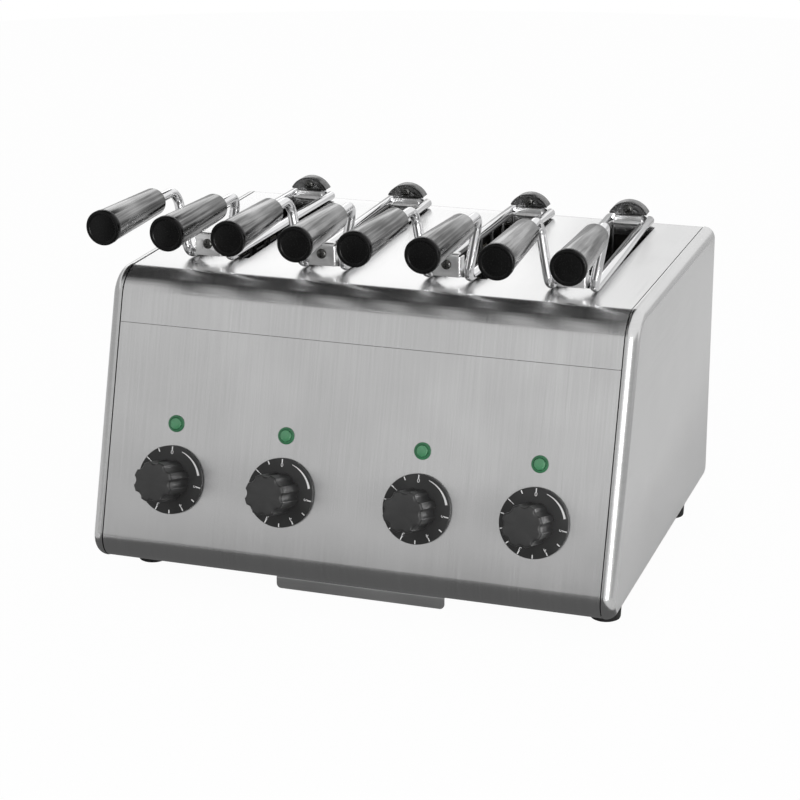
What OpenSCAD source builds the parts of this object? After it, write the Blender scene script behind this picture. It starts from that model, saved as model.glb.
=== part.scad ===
// Four-slot bar toaster with lift-out spring tongs.
// Millimetres, +Z up. The origin lies on the table, under the middle of the overall box.

/* [Body] */
// Overall width across the two end caps
body_w = 395.4; // [360:0.2:460]
// Depth of the body along its base
body_d = 325; // [300:1:380]
// Height of the top face above the table
top_h = 229; // [220:1:270]
// Height of the underside above the table
base_h = 21; // [20:0.5:26]
// Lean of the front face away from upright, in degrees
front_lean = 16.5; // [12:0.1:20]
// Thickness of the steel sheet
sheet = 1.2; // [0.8:0.1:1.4]
// Radius of the bend from the top to the front
top_bend_r = 25; // [12:1:30]
// Radius of the bend that turns the front under
low_bend_r = 17; // [10:1:20]
// Radius of the bends along the back
back_bend_r = 10; // [9:0.5:12]
// Height of the seam between top cover and front panel
seam_h = 193; // [175:1:196]
// Height of the seam between top cover and rear panel
back_seam_h = 212; // [190:1:214]
// Gap left at each seam
seam_gap = 0.3; // [0.2:0.05:0.5]
// Length of the flange that the front panel folds under
front_flange = 24; // [15:1:30]
// Length of the flange that the rear panel folds under
rear_flange = 15; // [13:1:18]

/* [End caps] */
// Width of the flat of the rim, beside its rounded edge
cap_flat = 0.5; // [0.3:0.1:1.5]
// Gap between the rim and the sheets
cap_gap = 0.8; // [0.3:0.1:1]
// How far the cap stands proud of the sheets
cap_proud = 0.4; // [0.3:0.1:1.5]
// Radius of the rounded outer edge
cap_edge_r = 8.5; // [6:0.5:9]
// Wall of the cap
cap_wall = 2; // [1.6:0.1:3]

/* [Slots] */
// Width of a slot
slot_w = 38; // [38:0.5:46]
// Length of a slot
slot_l = 183.5; // [165:0.5:205]
// Depth of the collar folded down round a slot
slot_collar = 8; // [4:1:8]
// Distance from the side of the body to the outermost heaters
side_room = 23; // [21:0.1:30]
// Distance from the middle of the body to the innermost heaters
mid_room = 10.3; // [9.5:0.1:16]
// Distance from the back of the body to the slots
rear_room = 21.25; // [18:0.25:30]

/* [Heating chamber] */
// Outer diameter of a quartz heater tube
heater_d = 10; // [8:0.5:10]
// Wall of a quartz heater tube
heater_wall = 1; // [0.8:0.1:1.5]
// Heater tubes above each other
heater_rows = 4; // [2:1:4]
// Height between two heater tubes
heater_pitch = 30; // [24:1:34]
// Depth of the highest heater tube below the top
heater_top = 32; // [30:1:40]
// Distance from the end of a slot to the chamber panel
bulkhead_gap = 5; // [4:0.5:6]
// Distance from a heater tube to its reflector
reflector_gap = 4; // [3:0.5:5]
// Diameter of the neck of a ceramic end
ceramic_neck_d = 12.4; // [12:0.1:14]
// Diameter of the collar of a ceramic end
ceramic_collar_d = 16; // [15:0.5:18]
// Length of the collar of a ceramic end
ceramic_collar_l = 3; // [2:0.5:4]
// Length of heater tube that stands out behind a chamber panel
heater_tail = 3; // [2:0.5:4]

/* [Timers] */
// How far the outer knobs lie outside the outer slots
outer_knob_shift = 3.4; // [0:0.2:6]
// Height of the knobs, where their axes meet the front face
knob_h = 86.2; // [80:0.2:95]
// Diameter of the dial
dial_d = 50; // [40:0.5:54]
// Thickness of the dial
dial_t = 3; // [2:0.5:5]
// Gap between dial and front face
dial_gap = 0.8; // [0.4:0.1:1.5]
// Diameter of the grip over its lobes
grip_d = 30; // [28:0.2:38]
// Diameter of the round flutes between the lobes
grip_flute_d = 10; // [8:0.5:12]
// Depth of the flutes between the lobes
grip_flute = 1.8; // [1:0.1:2.4]
// Lobes round the grip
grip_lobes = 8; // [6:1:9]
// Height of the grip above the dial
grip_h = 32; // [26:0.5:36]
// Chamfer round the face of the grip
grip_chamfer = 1.2; // [0.5:0.1:2]
// Diameter of the timer shaft
shaft_d = 6; // [5:0.25:8]
// Depth of the shaft in the knob
shaft_in_knob = 22; // [14:0.5:24]
// Depth of the shaft in the timer
shaft_in_timer = 18; // [12:0.5:24]
// Width of a timer body
timer_w = 46; // [38:1:48]
// Length of a timer body
timer_l = 36; // [28:1:44]
// Clearance of the shaft hole in the front panel
shaft_hole_gap = 1.5; // [1:0.25:3]

/* [Pilot lamps] */
// Height of the lamps on the front face
lamp_h = 125.6; // [120:0.2:140]
// Diameter of the lamp bezel
lamp_d = 12.4; // [11:0.1:14]
// Thickness of the lamp bezel
lamp_bezel_t = 1.2; // [0.8:0.1:2]
// Diameter of the lamp lens
lamp_lens_d = 9.6; // [8:0.1:10.4]
// Height of the lamp lens above the bezel
lamp_lens_h = 1.4; // [0.8:0.1:3]
// Length of the lamp body behind the panel
lamp_body_l = 20; // [12:1:30]

/* [Feet] */
// Diameter of a foot at its top
foot_d = 24; // [18:0.5:26]
// How much narrower a foot is at the table, on each side
foot_taper = 1; // [0:0.25:3]
// Diameter of the neck that carries a foot
foot_neck_d = 16; // [12:0.5:17]
// Gap between a foot and the end cap above it
foot_gap = 0.5; // [0.3:0.1:1]
// Distance from the side of the body to the middle of a foot
foot_inset_x = 20.5; // [19:0.1:25]
// Distance from the front of the base to the front feet
foot_front_y = 69.5; // [62:0.5:80]
// Distance from the back of the body to the rear feet
foot_back_inset = 43; // [30:1:60]

/* [Crumb tray] */
// Distance from the side of the body to the pan
tray_side = 49.5; // [44:0.5:60]
// Distance from the front of the base to the pan
tray_front_y = 49; // [48:0.5:56]
// Distance from the back of the body to the pan
tray_back = 17; // [15:0.5:30]
// Height of the pan's underside above the table
tray_h = 10.75; // [9:0.25:11]
// Height of the pan's rim over its underside
tray_rim = 8; // [6:0.25:8]
// Thickness of the tray sheet
tray_t = 1; // [0.8:0.1:1.2]
// Width of the flange that slides in the runner
tray_flange = 4; // [3:0.25:6]
// Clearance between tray and runner
tray_gap = 0.3; // [0.3:0.05:0.5]
// Overlap of runner and flange
runner_grip = 2.6; // [2:0.1:2.8]
// Width of the pull tab
tab_w = 129.6; // [100:0.2:150]
// Reach of the pull tab in front of the pan
tab_reach = 9; // [6:0.5:14]
// Height of the pull tab's lower edge above the table
tab_h = 2.25; // [2:0.25:5]
// Radius of the pull tab's lower corners
tab_corner_r = 3.5; // [2:0.5:5]

/* [Tongs] */
// Diameter of the arm rods
rod_d = 7.2; // [6:0.1:8]
// Distance between the two rods of a tong, along the slot
rod_spread = 31.6; // [29:0.2:34]
// Gap between rod and top cover
rod_gap = 0.3; // [0.3:0.05:0.5]
// Height of the hinge bolts above the top cover
pivot_h = 13.5; // [13:0.1:15]
// How far the upright part of the arms stands in front of the slot
arm_out = 17.35; // [16:0.05:20]
// How far the rods reach behind the slot
rod_out = 5.25; // [4:0.25:8]
// Radius of the bend at the handle
handle_bend_r = 12; // [8:0.5:14]
// Radius of the bend at the slot
slot_bend_r = 9; // [6:0.5:10]
// Gap between the handles of neighbouring tongs that hang straight
handle_gap = 8.6; // [6:0.2:14]
// Height of the handles above the top cover
handle_h = 52.4; // [48:0.2:60]
// Length of a handle with its plug
handle_l = 83; // [75:0.5:105]
// Bare rod between arm and handle
handle_neck = 37.9; // [20:0.1:42]
// Diameter of the handle tube at its plug
handle_d = 24; // [22:0.25:26]
// Diameter of the handle tube at its back end
handle_back_d = 19.7; // [17:0.1:22]
// Wall of the handle tube
handle_wall = 1.5; // [1:0.1:2]
// Diameter of the end plug
plug_d = 25; // [24:0.25:27]
// Thickness of the head of the end plug
plug_head = 5; // [3:0.25:7]
// Chamfer of the head of the end plug
plug_chamfer = 1.2; // [0.5:0.1:2]
// Length of the plug inside the tube
plug_spigot = 12; // [8:0.5:16]
// How far each tong lies off the middle of its slot
tong_shift = [-2.5, 1.2, -2.4, 1.1]; // [-2.5:0.1:2.5]
// How far each tong is turned in its slot, in degrees
tong_yaw = [-1.6, 0.4, -1.7, 1.8]; // [-1.8:0.1:1.8]

/* [Cages] */
// Distance from the end of a slot to the end wire of a cage
cage_end = 11.75; // [10:0.25:20]
// Depth of a cage below the top cover
cage_depth = 130; // [100:1:134]
// Distance between the two cages of a tong
cage_spread = 20; // [18:0.2:20]
// Diameter of the cage wires
wire_d = 2.4; // [2:0.1:2.6]
// Upright wires of one cage
cage_uprights = 7; // [5:1:9]
// Level wires of one cage
cage_levels = 3; // [2:1:4]
// Radius of the bends of a cage wire
wire_bend_r = 3.5; // [2.5:0.25:4]
// Gap between the toes of the two cages
toe_gap = 3; // [2:0.25:6]
// How far a level wire is pressed into the upright wires by its welds
weld_depth = 0.6; // [0.3:0.1:0.8]
// Gap between the top wire of a cage and its rod
rail_gap = 0.1; // [0.05:0.05:0.3]

/* [Hinges] */
// Diameter of the hinge bolts
bolt_d = 4; // [3.5:0.1:4.4]
// Diameter of a bolt head
bolt_head_d = 7.4; // [6:0.2:9]
// Height of a bolt head
bolt_head_h = 1.8; // [1:0.1:2.5]
// Running clearance of bolts and shafts
run_fit = 0.05; // [0.02:0.01:0.09]
// Thickness of a hinge lug
lug_t = 2; // [1.5:0.1:2.4]
// Width of a hinge lug
lug_w = 4; // [3.5:0.1:5]
// Diameter of the eye of a hinge lug
lug_eye_d = 9; // [8:0.1:9.4]
// Gap between lugs that pass each other
lug_gap = 0.3; // [0.3:0.05:0.5]
// Thickness of the bracket sheet
bracket_t = 1.2; // [1:0.1:1.4]
// Width of the front bracket
bracket_w = 22; // [20:0.2:22]
// Height of the front bracket
bracket_h = 17; // [15:0.2:18]
// Height of the lower edge of the front bracket above the top cover
bracket_low = 4.5; // [3:0.1:5]
// Depth of the side flanges of the front bracket
bracket_side = 7; // [5:0.25:9]
// Depth of the top flange of the front bracket
bracket_top = 5; // [4:0.25:8]
// Radius of the half-moon bracket
moon_r = 17; // [16.8:0.1:19]
// Height of the centre of the half-moon above the top cover
moon_h = 2.5; // [2.2:0.1:4]
// Distance from the rear end of the slot to the half-moon
moon_in = 3.75; // [3.25:0.25:5.5]
// Depth of the half-moon's rim
moon_rim = 10; // [8:0.5:10]
// Height above the top cover where the half-moon's rim ends
moon_open_h = 10.5; // [10.5:0.1:12.5]
// Width of the half-moon's neck between the rods
moon_neck_w = 21; // [18:0.2:21.6]
// Height of the foot strip of the half-moon
moon_foot_h = 2.6; // [1:0.1:3]
// Reach of the foot strip of the half-moon
moon_foot_l = 6; // [4:0.25:6.5]

/* [Springs] */
// Diameter of the spring wire
spring_wire_d = 1.4; // [1:0.1:1.5]
// Turns of a spring
spring_turns = 3.5; // [2.5:1:3.5]
// Distance from turn to turn
spring_pitch = 2.2; // [2.1:0.05:2.3]
// Clearance between spring and bolt
spring_fit = 0.3; // [0.2:0.05:0.5]
// Length of the spring's legs
spring_leg = 5; // [3:0.25:6]

/* [Rear fittings] */
// Distance from the side of the body to the cable gland
gland_inset = 47.7; // [40:0.1:90]
// Height of the cable gland above the table
gland_h = 55; // [45:1:120]
// Bore of the cable gland
gland_bore_d = 9; // [6:0.25:10]
// Diameter of the gland's neck in the rear panel
gland_neck_d = 16; // [14:0.25:18]
// Width across the corners of the gland's hexagon
gland_hex_d = 25; // [22:0.5:28]
// Thickness of the gland's hexagon
gland_hex_t = 6; // [4:0.5:8]
// Diameter of the gland's cap nut
gland_cap_d = 20; // [18:0.5:21]
// Length of the gland's cap nut
gland_cap_l = 12; // [8:0.5:16]
// Thickness of the gland's locknut inside
gland_nut_t = 3.5; // [2:0.25:4]
// Diameter of a case screw
screw_d = 4; // [3:0.1:5]
// Diameter of a case screw's head
screw_head_d = 7.6; // [6:0.1:9]
// Height of a case screw's head
screw_head_h = 2.4; // [1.5:0.1:3]
// Length of a case screw behind the panel
screw_l = 4; // [2:0.25:4.5]
// Clearance of fixed pieces in their holes
hole_fit = 0.1; // [0.05:0.01:0.2]
// Distance of the case screws from the edges of the rear panel
screw_inset = 14; // [10:0.5:20]

/* [Terminal block] */
// Width of the terminal block
terminal_w = 64; // [40:1:90]
// Depth of the terminal block
terminal_d = 22; // [16:1:28]
// Height of the terminal block
terminal_h = 14; // [10:0.5:20]
// Ways of the terminal block
terminal_ways = 5; // [3:1:8]
// Thickness of the walls between the ways
terminal_rib = 1.6; // [1:0.1:2]
// Height of the walls over the block
terminal_rib_h = 5; // [3:0.5:8]
// Distance from the chamber panel to the terminal block
terminal_gap = 12; // [8:1:16]

/* [Hidden] */
$fn = 48;
eps = 0.01;
far = 60;
near = 6;

tongs = [1, 2, 3, 4];
sides = ["left", "right"];

// Slots, each in the middle between its heaters, and the knobs in line with them
slot_pitch = (body_w / 2 - side_room - mid_room) / 2;
inner_slot_x = mid_room + slot_pitch / 2;
outer_slot_x = inner_slot_x + slot_pitch;
slot_mid_y = body_d - rear_room - slot_l / 2;
slot_x = [-outer_slot_x, -inner_slot_x, inner_slot_x, outer_slot_x];
outer_knob_x = outer_slot_x + outer_knob_shift;
knob_x = [-outer_knob_x, -inner_slot_x, inner_slot_x, outer_knob_x];
gland_x = body_w / 2 - gland_inset;

// Side outline of the body as corners: y, z, radius, first and last angle of the bend
function front_y(z) = (z - base_h) * tan(front_lean);
function front_centre(z, r) = front_y(z) + r / cos(front_lean);
corners = [
    [body_d - back_bend_r, base_h + back_bend_r, back_bend_r, -90, 0],
    [body_d - back_bend_r, top_h - back_bend_r, back_bend_r, 0, 90],
    [front_centre(top_h - top_bend_r, top_bend_r), top_h - top_bend_r, top_bend_r, 90, 180 - front_lean],
    [front_centre(base_h + low_bend_r, low_bend_r), base_h + low_bend_r, low_bend_r, 180 - front_lean, 270]
];
cap_rim = cap_edge_r + cap_flat;
sheet_w = body_w - 2 * (cap_rim + cap_gap);
inner_w = sheet_w / 2;

// Levels and depths inside the body
base_under = base_h + sheet;
base_top = base_under + sheet;
cover_under = top_h - sheet;
front_wall_y = slot_mid_y - slot_l / 2 - bulkhead_gap;
rear_wall_y = slot_mid_y + slot_l / 2 + bulkhead_gap;
heater_side = slot_pitch / 2;
heater_x = [
    -outer_slot_x - heater_side, -inner_slot_x - heater_side, heater_side - inner_slot_x,
    inner_slot_x - heater_side, inner_slot_x + heater_side, outer_slot_x + heater_side
];
heater_z = [for (row = [0:heater_rows - 1]) top_h - heater_top - row * heater_pitch];
reflector_x = outer_slot_x + heater_side + heater_d / 2 + reflector_gap;
wall_half_w = reflector_x + sheet;

// Tong places, seen from the middle of the slot at the level of the top cover
rod_r = rod_d / 2;
rod_x = rod_spread / 2;
rod_h = rod_r + rod_gap;
cage_x = cage_spread / 2;
cage_l = slot_l - 2 * cage_end;
arm_y = slot_l / 2 + arm_out;
rod_back_y = slot_l / 2 + rod_out;
moon_y = slot_l / 2 - moon_in;
handle_spread = slot_pitch - plug_d - handle_gap;
handle_x = handle_spread / 2;
arm_rise = norm([handle_x - rod_x, handle_h - rod_h]);
arm_tilt = atan2(handle_x - rod_x, handle_h - rod_h);
handle_back_y = -arm_y - handle_neck;
handle_front_y = handle_back_y - handle_l;
bracket_back_y = -arm_y + bracket_t / 2;
spring_r = bolt_d / 2 + spring_fit + spring_wire_d / 2;
spring_start_y = bracket_back_y + spring_wire_d;
spring_end_y = spring_start_y + spring_turns * spring_pitch;
front_lug_y = spring_end_y + spring_wire_d;
rear_lug_y = moon_y + bracket_t + lug_gap;
lug_step = lug_t + lug_gap;

// Overall box, which sets the origin
plug_y = [
    for (i = [0:3]) for (s = [-1, 1])
        slot_mid_y + sin(tong_yaw[i]) * s * handle_x + cos(tong_yaw[i]) * handle_front_y
            - abs(sin(tong_yaw[i])) * (plug_d / 2 - plug_chamfer)
];
knob_reach = dial_gap + dial_t + grip_h;
knob_front_y = front_y(knob_h) - knob_reach * cos(front_lean) - (grip_d / 2 - grip_chamfer) * sin(front_lean);
gland_reach = gland_hex_t + gland_cap_l;
origin_y = -(min(concat(plug_y, knob_front_y)) + body_d + gland_reach) / 2;

// Spring centre line: straight legs and a helix with eight rings to a turn
rings_per_turn = 8;
ring_sides = 6;
function helix(turn) = [
    spring_r * cos(360 * turn), spring_start_y + spring_pitch * turn, pivot_h + spring_r * sin(360 * turn)
];
spring_line = concat(
    [helix(0) - [0, 0, spring_leg]],
    [for (k = [0:rings_per_turn * spring_turns]) helix(k / rings_per_turn)],
    [helix(spring_turns) - [0, 0, spring_leg]]
);
spring_gap = min([
    for (i = [0:len(spring_line) - 1]) for (j = [i + rings_per_turn / 2 + 1:1:len(spring_line) - 1])
        norm(spring_line[i] - spring_line[j]) - spring_wire_d
]);
echo(spring_least_gap = spring_gap);

fixed_nodes = [
    "top_cover", "front_panel", "left_end_cap", "right_end_cap", "rear_panel", "base_plate", "rubber_feet",
    "pilot_lamps", "timer_bodies", "heater_tubes", "ceramic_ends", "chamber_panels", "terminal_block",
    "cable_gland", "case_screws", "crumb_tray"
];
knob_nodes = [for (n = tongs) each [str("timer_knob_", n), str("timer_shaft_", n)]];
side_nodes = [
    for (n = tongs) for (s = sides) for (piece = ["arm", "cage", "plug"]) str("tong_", n, "_", s, "_", piece)
];
hinge_nodes = [for (n = tongs) for (piece = ["brackets", "bolts", "spring"]) str("tong_", n, "_", piece)];

// Frames

// Moves a piece from the front edge of the base to the part's origin
module placed() {
    translate([0, origin_y, 0]) children();
}

// Draws a side view, y to the right and z up, and makes it as wide as given
module along_x(width) {
    rotate([90, 0, 90]) linear_extrude(width, center = true) children();
}

// Stands a piece on the front face, its z axis pointing out of the face
module on_front(x, h) {
    translate([x, front_y(h), h]) rotate([90 - front_lean, 0, 0]) children();
}

// Puts a piece into the frame of one tong
module at_tong(i) {
    placed() translate([slot_x[i] + tong_shift[i], slot_mid_y, top_h]) rotate([0, 0, tong_yaw[i]]) children();
}

// A straight rod along Y
module rod_y(r, y0, y1) {
    translate([0, y1, 0]) rotate([90, 0, 0]) cylinder(r = r, h = y1 - y0);
}

// A quarter bend in the plane of Y and Z, from the given angle, with the bend's centre at the origin
module bend(bend_r, r, from) {
    rotate([0, 90, 0]) rotate([0, 0, from]) rotate_extrude(angle = 90) translate([bend_r, 0]) circle(r);
}

// A plate that stands across Y, drawn with x to the right and z up
module plate_y(y0, t) {
    translate([0, y0 + t, 0]) rotate([90, 0, 0]) linear_extrude(t) children();
}

// Body sheets

// The side outline moved outward, each bend in short steps
bend_steps = 12;
function rim_points(out) = [
    for (c = corners) for (k = [0:bend_steps])
        let (a = c[3] + (c[4] - c[3]) * k / bend_steps, r = max(c[2] + out, eps))
            [c[0] + r * cos(a), c[1] + r * sin(a)]
];

module sheet_outline() {
    difference() {
        polygon(rim_points(0));
        polygon(rim_points(-sheet));
    }
}

// A point on the seam line at the front, moved down the face and out of it
function seam_point(down, out) = [
    front_y(seam_h) - down * sin(front_lean) - out * cos(front_lean),
    seam_h - down * cos(front_lean) + out * sin(front_lean)
];

module slot_block(grow, depth) {
    for (x = slot_x) translate([x, slot_mid_y, top_h - depth / 2 + eps])
        cube([slot_w + 2 * grow, slot_l + 2 * grow, depth + 2 * eps], center = true);
}

module top_cover() {
    color("gainsboro") placed() difference() {
        union() {
            along_x(sheet_w) intersection() {
                sheet_outline();
                polygon([
                    seam_point(0, near), seam_point(0, -near), [slot_mid_y, back_seam_h],
                    [body_d + far, back_seam_h], [body_d + far, top_h + far],
                    [seam_point(0, near)[0], top_h + far]
                ]);
            }
            translate([0, 0, -2 * eps - sheet / 2]) slot_block(sheet, slot_collar - sheet / 2);
        }
        slot_block(0, 2 * slot_collar);
    }
}

module front_panel() {
    flange_y = corners[3][0] + front_flange;
    color("silver") placed() difference() {
        along_x(sheet_w) intersection() {
            sheet_outline();
            polygon([
                seam_point(seam_gap, far), seam_point(seam_gap, -near), [flange_y, base_h + far / 2],
                [flange_y, base_h - far], [-far, base_h - far]
            ]);
        }
        for (x = knob_x) {
            on_front(x, knob_h) cylinder(d = shaft_d + 2 * shaft_hole_gap, h = 4 * sheet, center = true);
            on_front(x, lamp_h) cylinder(d = lamp_lens_d + 2 * hole_fit, h = 4 * sheet, center = true);
        }
    }
}

module rear_panel() {
    color("silver") placed() difference() {
        along_x(sheet_w) intersection() {
            sheet_outline();
            translate([body_d - rear_flange, base_h - far])
                square([far, back_seam_h - seam_gap - base_h + far]);
        }
        at_rear(gland_x, gland_h) cylinder(d = gland_neck_d + 2 * hole_fit, h = 4 * sheet, center = true);
        rear_screws() cylinder(d = screw_d + 2 * hole_fit, h = 4 * sheet, center = true);
    }
}

// Stands a piece on the back face, its z axis pointing out of the face
module at_rear(x, z) {
    translate([x, body_d, z]) rotate([-90, 0, 0]) children();
}

module rear_screws() {
    low = base_h + screw_inset;
    high = back_seam_h - screw_inset;
    side = inner_w - screw_inset;
    for (x = [-side, side]) for (z = [low, (low + high) / 2, high]) at_rear(x, z) children();
}

// One end cap: a flat face, a rounded edge and a rim with a real wall
module end_cap() {
    edge_steps = 6;
    inner_r = cap_edge_r - cap_wall;
    edge_x = body_w / 2 - cap_edge_r;
    edge_out = cap_proud - cap_edge_r;
    angles = [for (k = [0:edge_steps]) 90 * k / edge_steps];
    profile = concat(
        [for (a = angles) [edge_x + cap_edge_r * cos(a), edge_out + cap_edge_r * sin(a)]],
        [[body_w / 2 - cap_rim, cap_proud], [body_w / 2 - cap_rim, cap_proud - cap_wall]],
        [for (a = angles) [edge_x + inner_r * sin(a), edge_out + inner_r * cos(a)]]
    );
    count = 4 * (bend_steps + 1);
    points = [for (p = profile) for (q = rim_points(p[1])) [p[0], q[0], q[1]]];
    last = len(profile) - 1;
    skin = [
        for (j = [0:last - 1]) for (k = [0:count - 1])
            let (a = j * count + k, b = j * count + (k + 1) % count)
                each [[a, b, b + count], [a, b + count, a + count]]
    ];
    ends = [[for (k = [count - 1:-1:0]) k], [for (k = [0:count - 1]) last * count + k]];
    polyhedron(points = points, faces = concat(skin, ends));
}

module right_end_cap() {
    color("lightgray") placed() end_cap();
}

module left_end_cap() {
    color("lightgray") placed() mirror([1, 0, 0]) end_cap();
}

tray_w = body_w - 2 * tray_side;
tray_l = body_d - tray_front_y - tray_back;
runner_top = tray_h + tray_rim - tray_t - tray_gap;
runner_x = tray_w / 2 + tray_flange + tray_gap;

module base_plate() {
    front = corners[3][0];
    back = body_d - back_bend_r;
    hole_front = front_wall_y + 2 * sheet;
    hole_back = rear_wall_y - 2 * sheet;
    hole_half_w = tray_w / 2 - tray_flange;
    color("darkgray") placed() {
        difference() {
            translate([-inner_w, front, base_under]) cube([2 * inner_w, back - front, sheet]);
            translate([-hole_half_w, hole_front, base_under - sheet])
                cube([2 * hole_half_w, hole_back - hole_front, 3 * sheet]);
        }
        for (s = [0, 1]) mirror([s, 0, 0]) translate([runner_x, tray_front_y, runner_top - sheet]) {
            cube([sheet, tray_l, base_under + sheet / 2 - runner_top + sheet]);
            translate([-runner_grip - tray_gap, 0, 0]) cube([runner_grip + tray_gap + sheet, tray_l, sheet]);
        }
    }
}

module rubber_feet() {
    x = body_w / 2 - foot_inset_x;
    foot_top = base_h - cap_proud - foot_gap;
    color("#202020") placed() for (sx = [-1, 1]) for (y = [foot_front_y, body_d - foot_back_inset])
        translate([sx * x, y, 0]) {
            cylinder(d1 = foot_d - 2 * foot_taper, d2 = foot_d, h = foot_top);
            cylinder(d = foot_neck_d, h = base_under);
        }
}

// Crumb tray

module crumb_tray() {
    rim_top = tray_h + tray_rim;
    tab_top = tray_h + tray_t;
    corner_x = tab_w / 2 - tab_corner_r;
    color("darkgray") placed() {
        difference() {
            translate([-tray_w / 2, tray_front_y, tray_h]) cube([tray_w, tray_l, tray_rim]);
            translate([-tray_w / 2 + tray_t, tray_front_y + tray_t, tray_h + tray_t])
                cube([tray_w - 2 * tray_t, tray_l - 2 * tray_t, tray_rim]);
        }
        for (s = [0, 1]) mirror([s, 0, 0]) translate([tray_w / 2 - tray_t, tray_front_y, rim_top - tray_t])
            cube([tray_flange + tray_t, tray_l, tray_t]);
        translate([-tab_w / 2, tray_front_y - tab_reach, tray_h]) cube([tab_w, tab_reach + tray_t, tray_t]);
        plate_y(tray_front_y - tab_reach, tray_t) {
            translate([-tab_w / 2, tab_h + tab_corner_r]) square([tab_w, tab_top - tab_h - tab_corner_r]);
            translate([-corner_x, tab_h]) square([2 * corner_x, 2 * tab_corner_r]);
            for (x = [-corner_x, corner_x]) translate([x, tab_h + tab_corner_r]) circle(tab_corner_r);
        }
    }
}

// Heating chamber

module at_heaters() {
    for (x = heater_x) for (z = heater_z) translate([x, 0, z]) children();
}

module heater_tubes() {
    front = front_wall_y - sheet - heater_tail;
    back = rear_wall_y + sheet + heater_tail;
    color("ivory") placed() at_heaters() difference() {
        rod_y(heater_d / 2, front, back);
        rod_y(heater_d / 2 - heater_wall, front - 1, back + 1);
    }
}

module ceramic_ends() {
    bore_r = heater_d / 2 + hole_fit;
    color("linen") placed() at_heaters() {
        difference() {
            union() {
                rod_y(ceramic_neck_d / 2, front_wall_y - sheet, front_wall_y + ceramic_collar_l);
                rod_y(ceramic_collar_d / 2, front_wall_y, front_wall_y + ceramic_collar_l);
            }
            rod_y(bore_r, front_wall_y - far, front_wall_y + far);
        }
        difference() {
            union() {
                rod_y(ceramic_neck_d / 2, rear_wall_y - ceramic_collar_l, rear_wall_y + sheet);
                rod_y(ceramic_collar_d / 2, rear_wall_y - ceramic_collar_l, rear_wall_y);
            }
            rod_y(bore_r, rear_wall_y - far, rear_wall_y + far);
        }
    }
}

module chamber_panels() {
    height = cover_under - base_top;
    length = rear_wall_y - front_wall_y;
    color("lightgray") placed() {
        for (y = [front_wall_y - sheet, rear_wall_y]) difference() {
            translate([-wall_half_w, y, base_top]) cube([2 * wall_half_w, sheet, height]);
            at_heaters() rod_y(ceramic_neck_d / 2 + hole_fit, y - sheet, y + 2 * sheet);
        }
        for (x = [-wall_half_w, -sheet / 2, reflector_x])
            translate([x, front_wall_y, base_top]) cube([sheet, length, height]);
    }
}

module terminal_block() {
    y = front_wall_y - sheet - terminal_gap - terminal_d;
    pitch = (terminal_w - terminal_rib) / terminal_ways;
    color("beige") placed() translate([-terminal_w / 2, y, base_top]) {
        cube([terminal_w, terminal_d, terminal_h]);
        for (k = [0:terminal_ways]) translate([k * pitch, 0, terminal_h])
            cube([terminal_rib, terminal_d, terminal_rib_h]);
    }
}

module cable_gland() {
    color("#202020") placed() at_rear(gland_x, gland_h) difference() {
        union() {
            cylinder(d = gland_hex_d, h = gland_hex_t, $fn = 6);
            cylinder(d = gland_cap_d, h = gland_reach);
            translate([0, 0, -sheet]) cylinder(d = gland_neck_d, h = sheet);
            translate([0, 0, -sheet - gland_nut_t]) cylinder(d = gland_hex_d, h = gland_nut_t, $fn = 6);
        }
        translate([0, 0, -far]) cylinder(d = gland_bore_d, h = 2 * far);
    }
}

module case_screws() {
    color("silver") placed() rear_screws() {
        cylinder(d = screw_head_d, h = screw_head_h);
        translate([0, 0, -sheet - screw_l]) cylinder(d = screw_d, h = sheet + screw_l);
    }
}

// Timers and lamps

module timer_bodies() {
    color("dimgray") placed() for (x = knob_x) on_front(x, knob_h) difference() {
        translate([-timer_w / 2, -timer_w / 2, -sheet - timer_l]) cube([timer_w, timer_w, timer_l]);
        translate([0, 0, -sheet - shaft_in_timer - lug_gap])
            cylinder(d = shaft_d + 2 * run_fit, h = shaft_in_timer + sheet);
    }
}

module timer_shaft(i) {
    color("silver") placed() on_front(knob_x[i], knob_h) translate([0, 0, -sheet - shaft_in_timer])
        cylinder(d = shaft_d, h = sheet + shaft_in_timer + dial_gap + shaft_in_knob);
}

module timer_knob(i) {
    tip_r = grip_d / 2;
    flute_r = grip_flute_d / 2;
    dial_top = dial_gap + dial_t;
    color("#303030") placed() on_front(knob_x[i], knob_h) difference() {
        union() {
            translate([0, 0, dial_gap]) cylinder(d = dial_d, h = dial_t);
            translate([0, 0, dial_top]) difference() {
                union() {
                    cylinder(r = tip_r, h = grip_h - grip_chamfer);
                    translate([0, 0, grip_h - grip_chamfer])
                        cylinder(r1 = tip_r, r2 = tip_r - grip_chamfer, h = grip_chamfer);
                }
                for (k = [0:grip_lobes - 1]) rotate(k * 360 / grip_lobes)
                    translate([tip_r + flute_r - grip_flute, 0, 0]) cylinder(r = flute_r, h = grip_h + 1);
            }
        }
        translate([0, 0, dial_gap - 1]) cylinder(d = shaft_d + 2 * run_fit, h = shaft_in_knob + lug_gap + 1);
    }
}

module pilot_lamps() {
    color("#3f9a62") placed() for (x = knob_x) on_front(x, lamp_h) {
        cylinder(d = lamp_d, h = lamp_bezel_t);
        translate([0, 0, lamp_bezel_t])
            cylinder(d1 = lamp_lens_d, d2 = lamp_lens_d - lamp_lens_h, h = lamp_lens_h);
        translate([0, 0, -sheet - lamp_body_l]) cylinder(d = lamp_lens_d, h = sheet + lamp_body_l);
    }
}

// Tongs, each drawn for the right side and mirrored for the left

module tong_side(i, side) {
    at_tong(i) mirror([side == "left" ? 1 : 0, 0, 0]) children();
}

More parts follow.
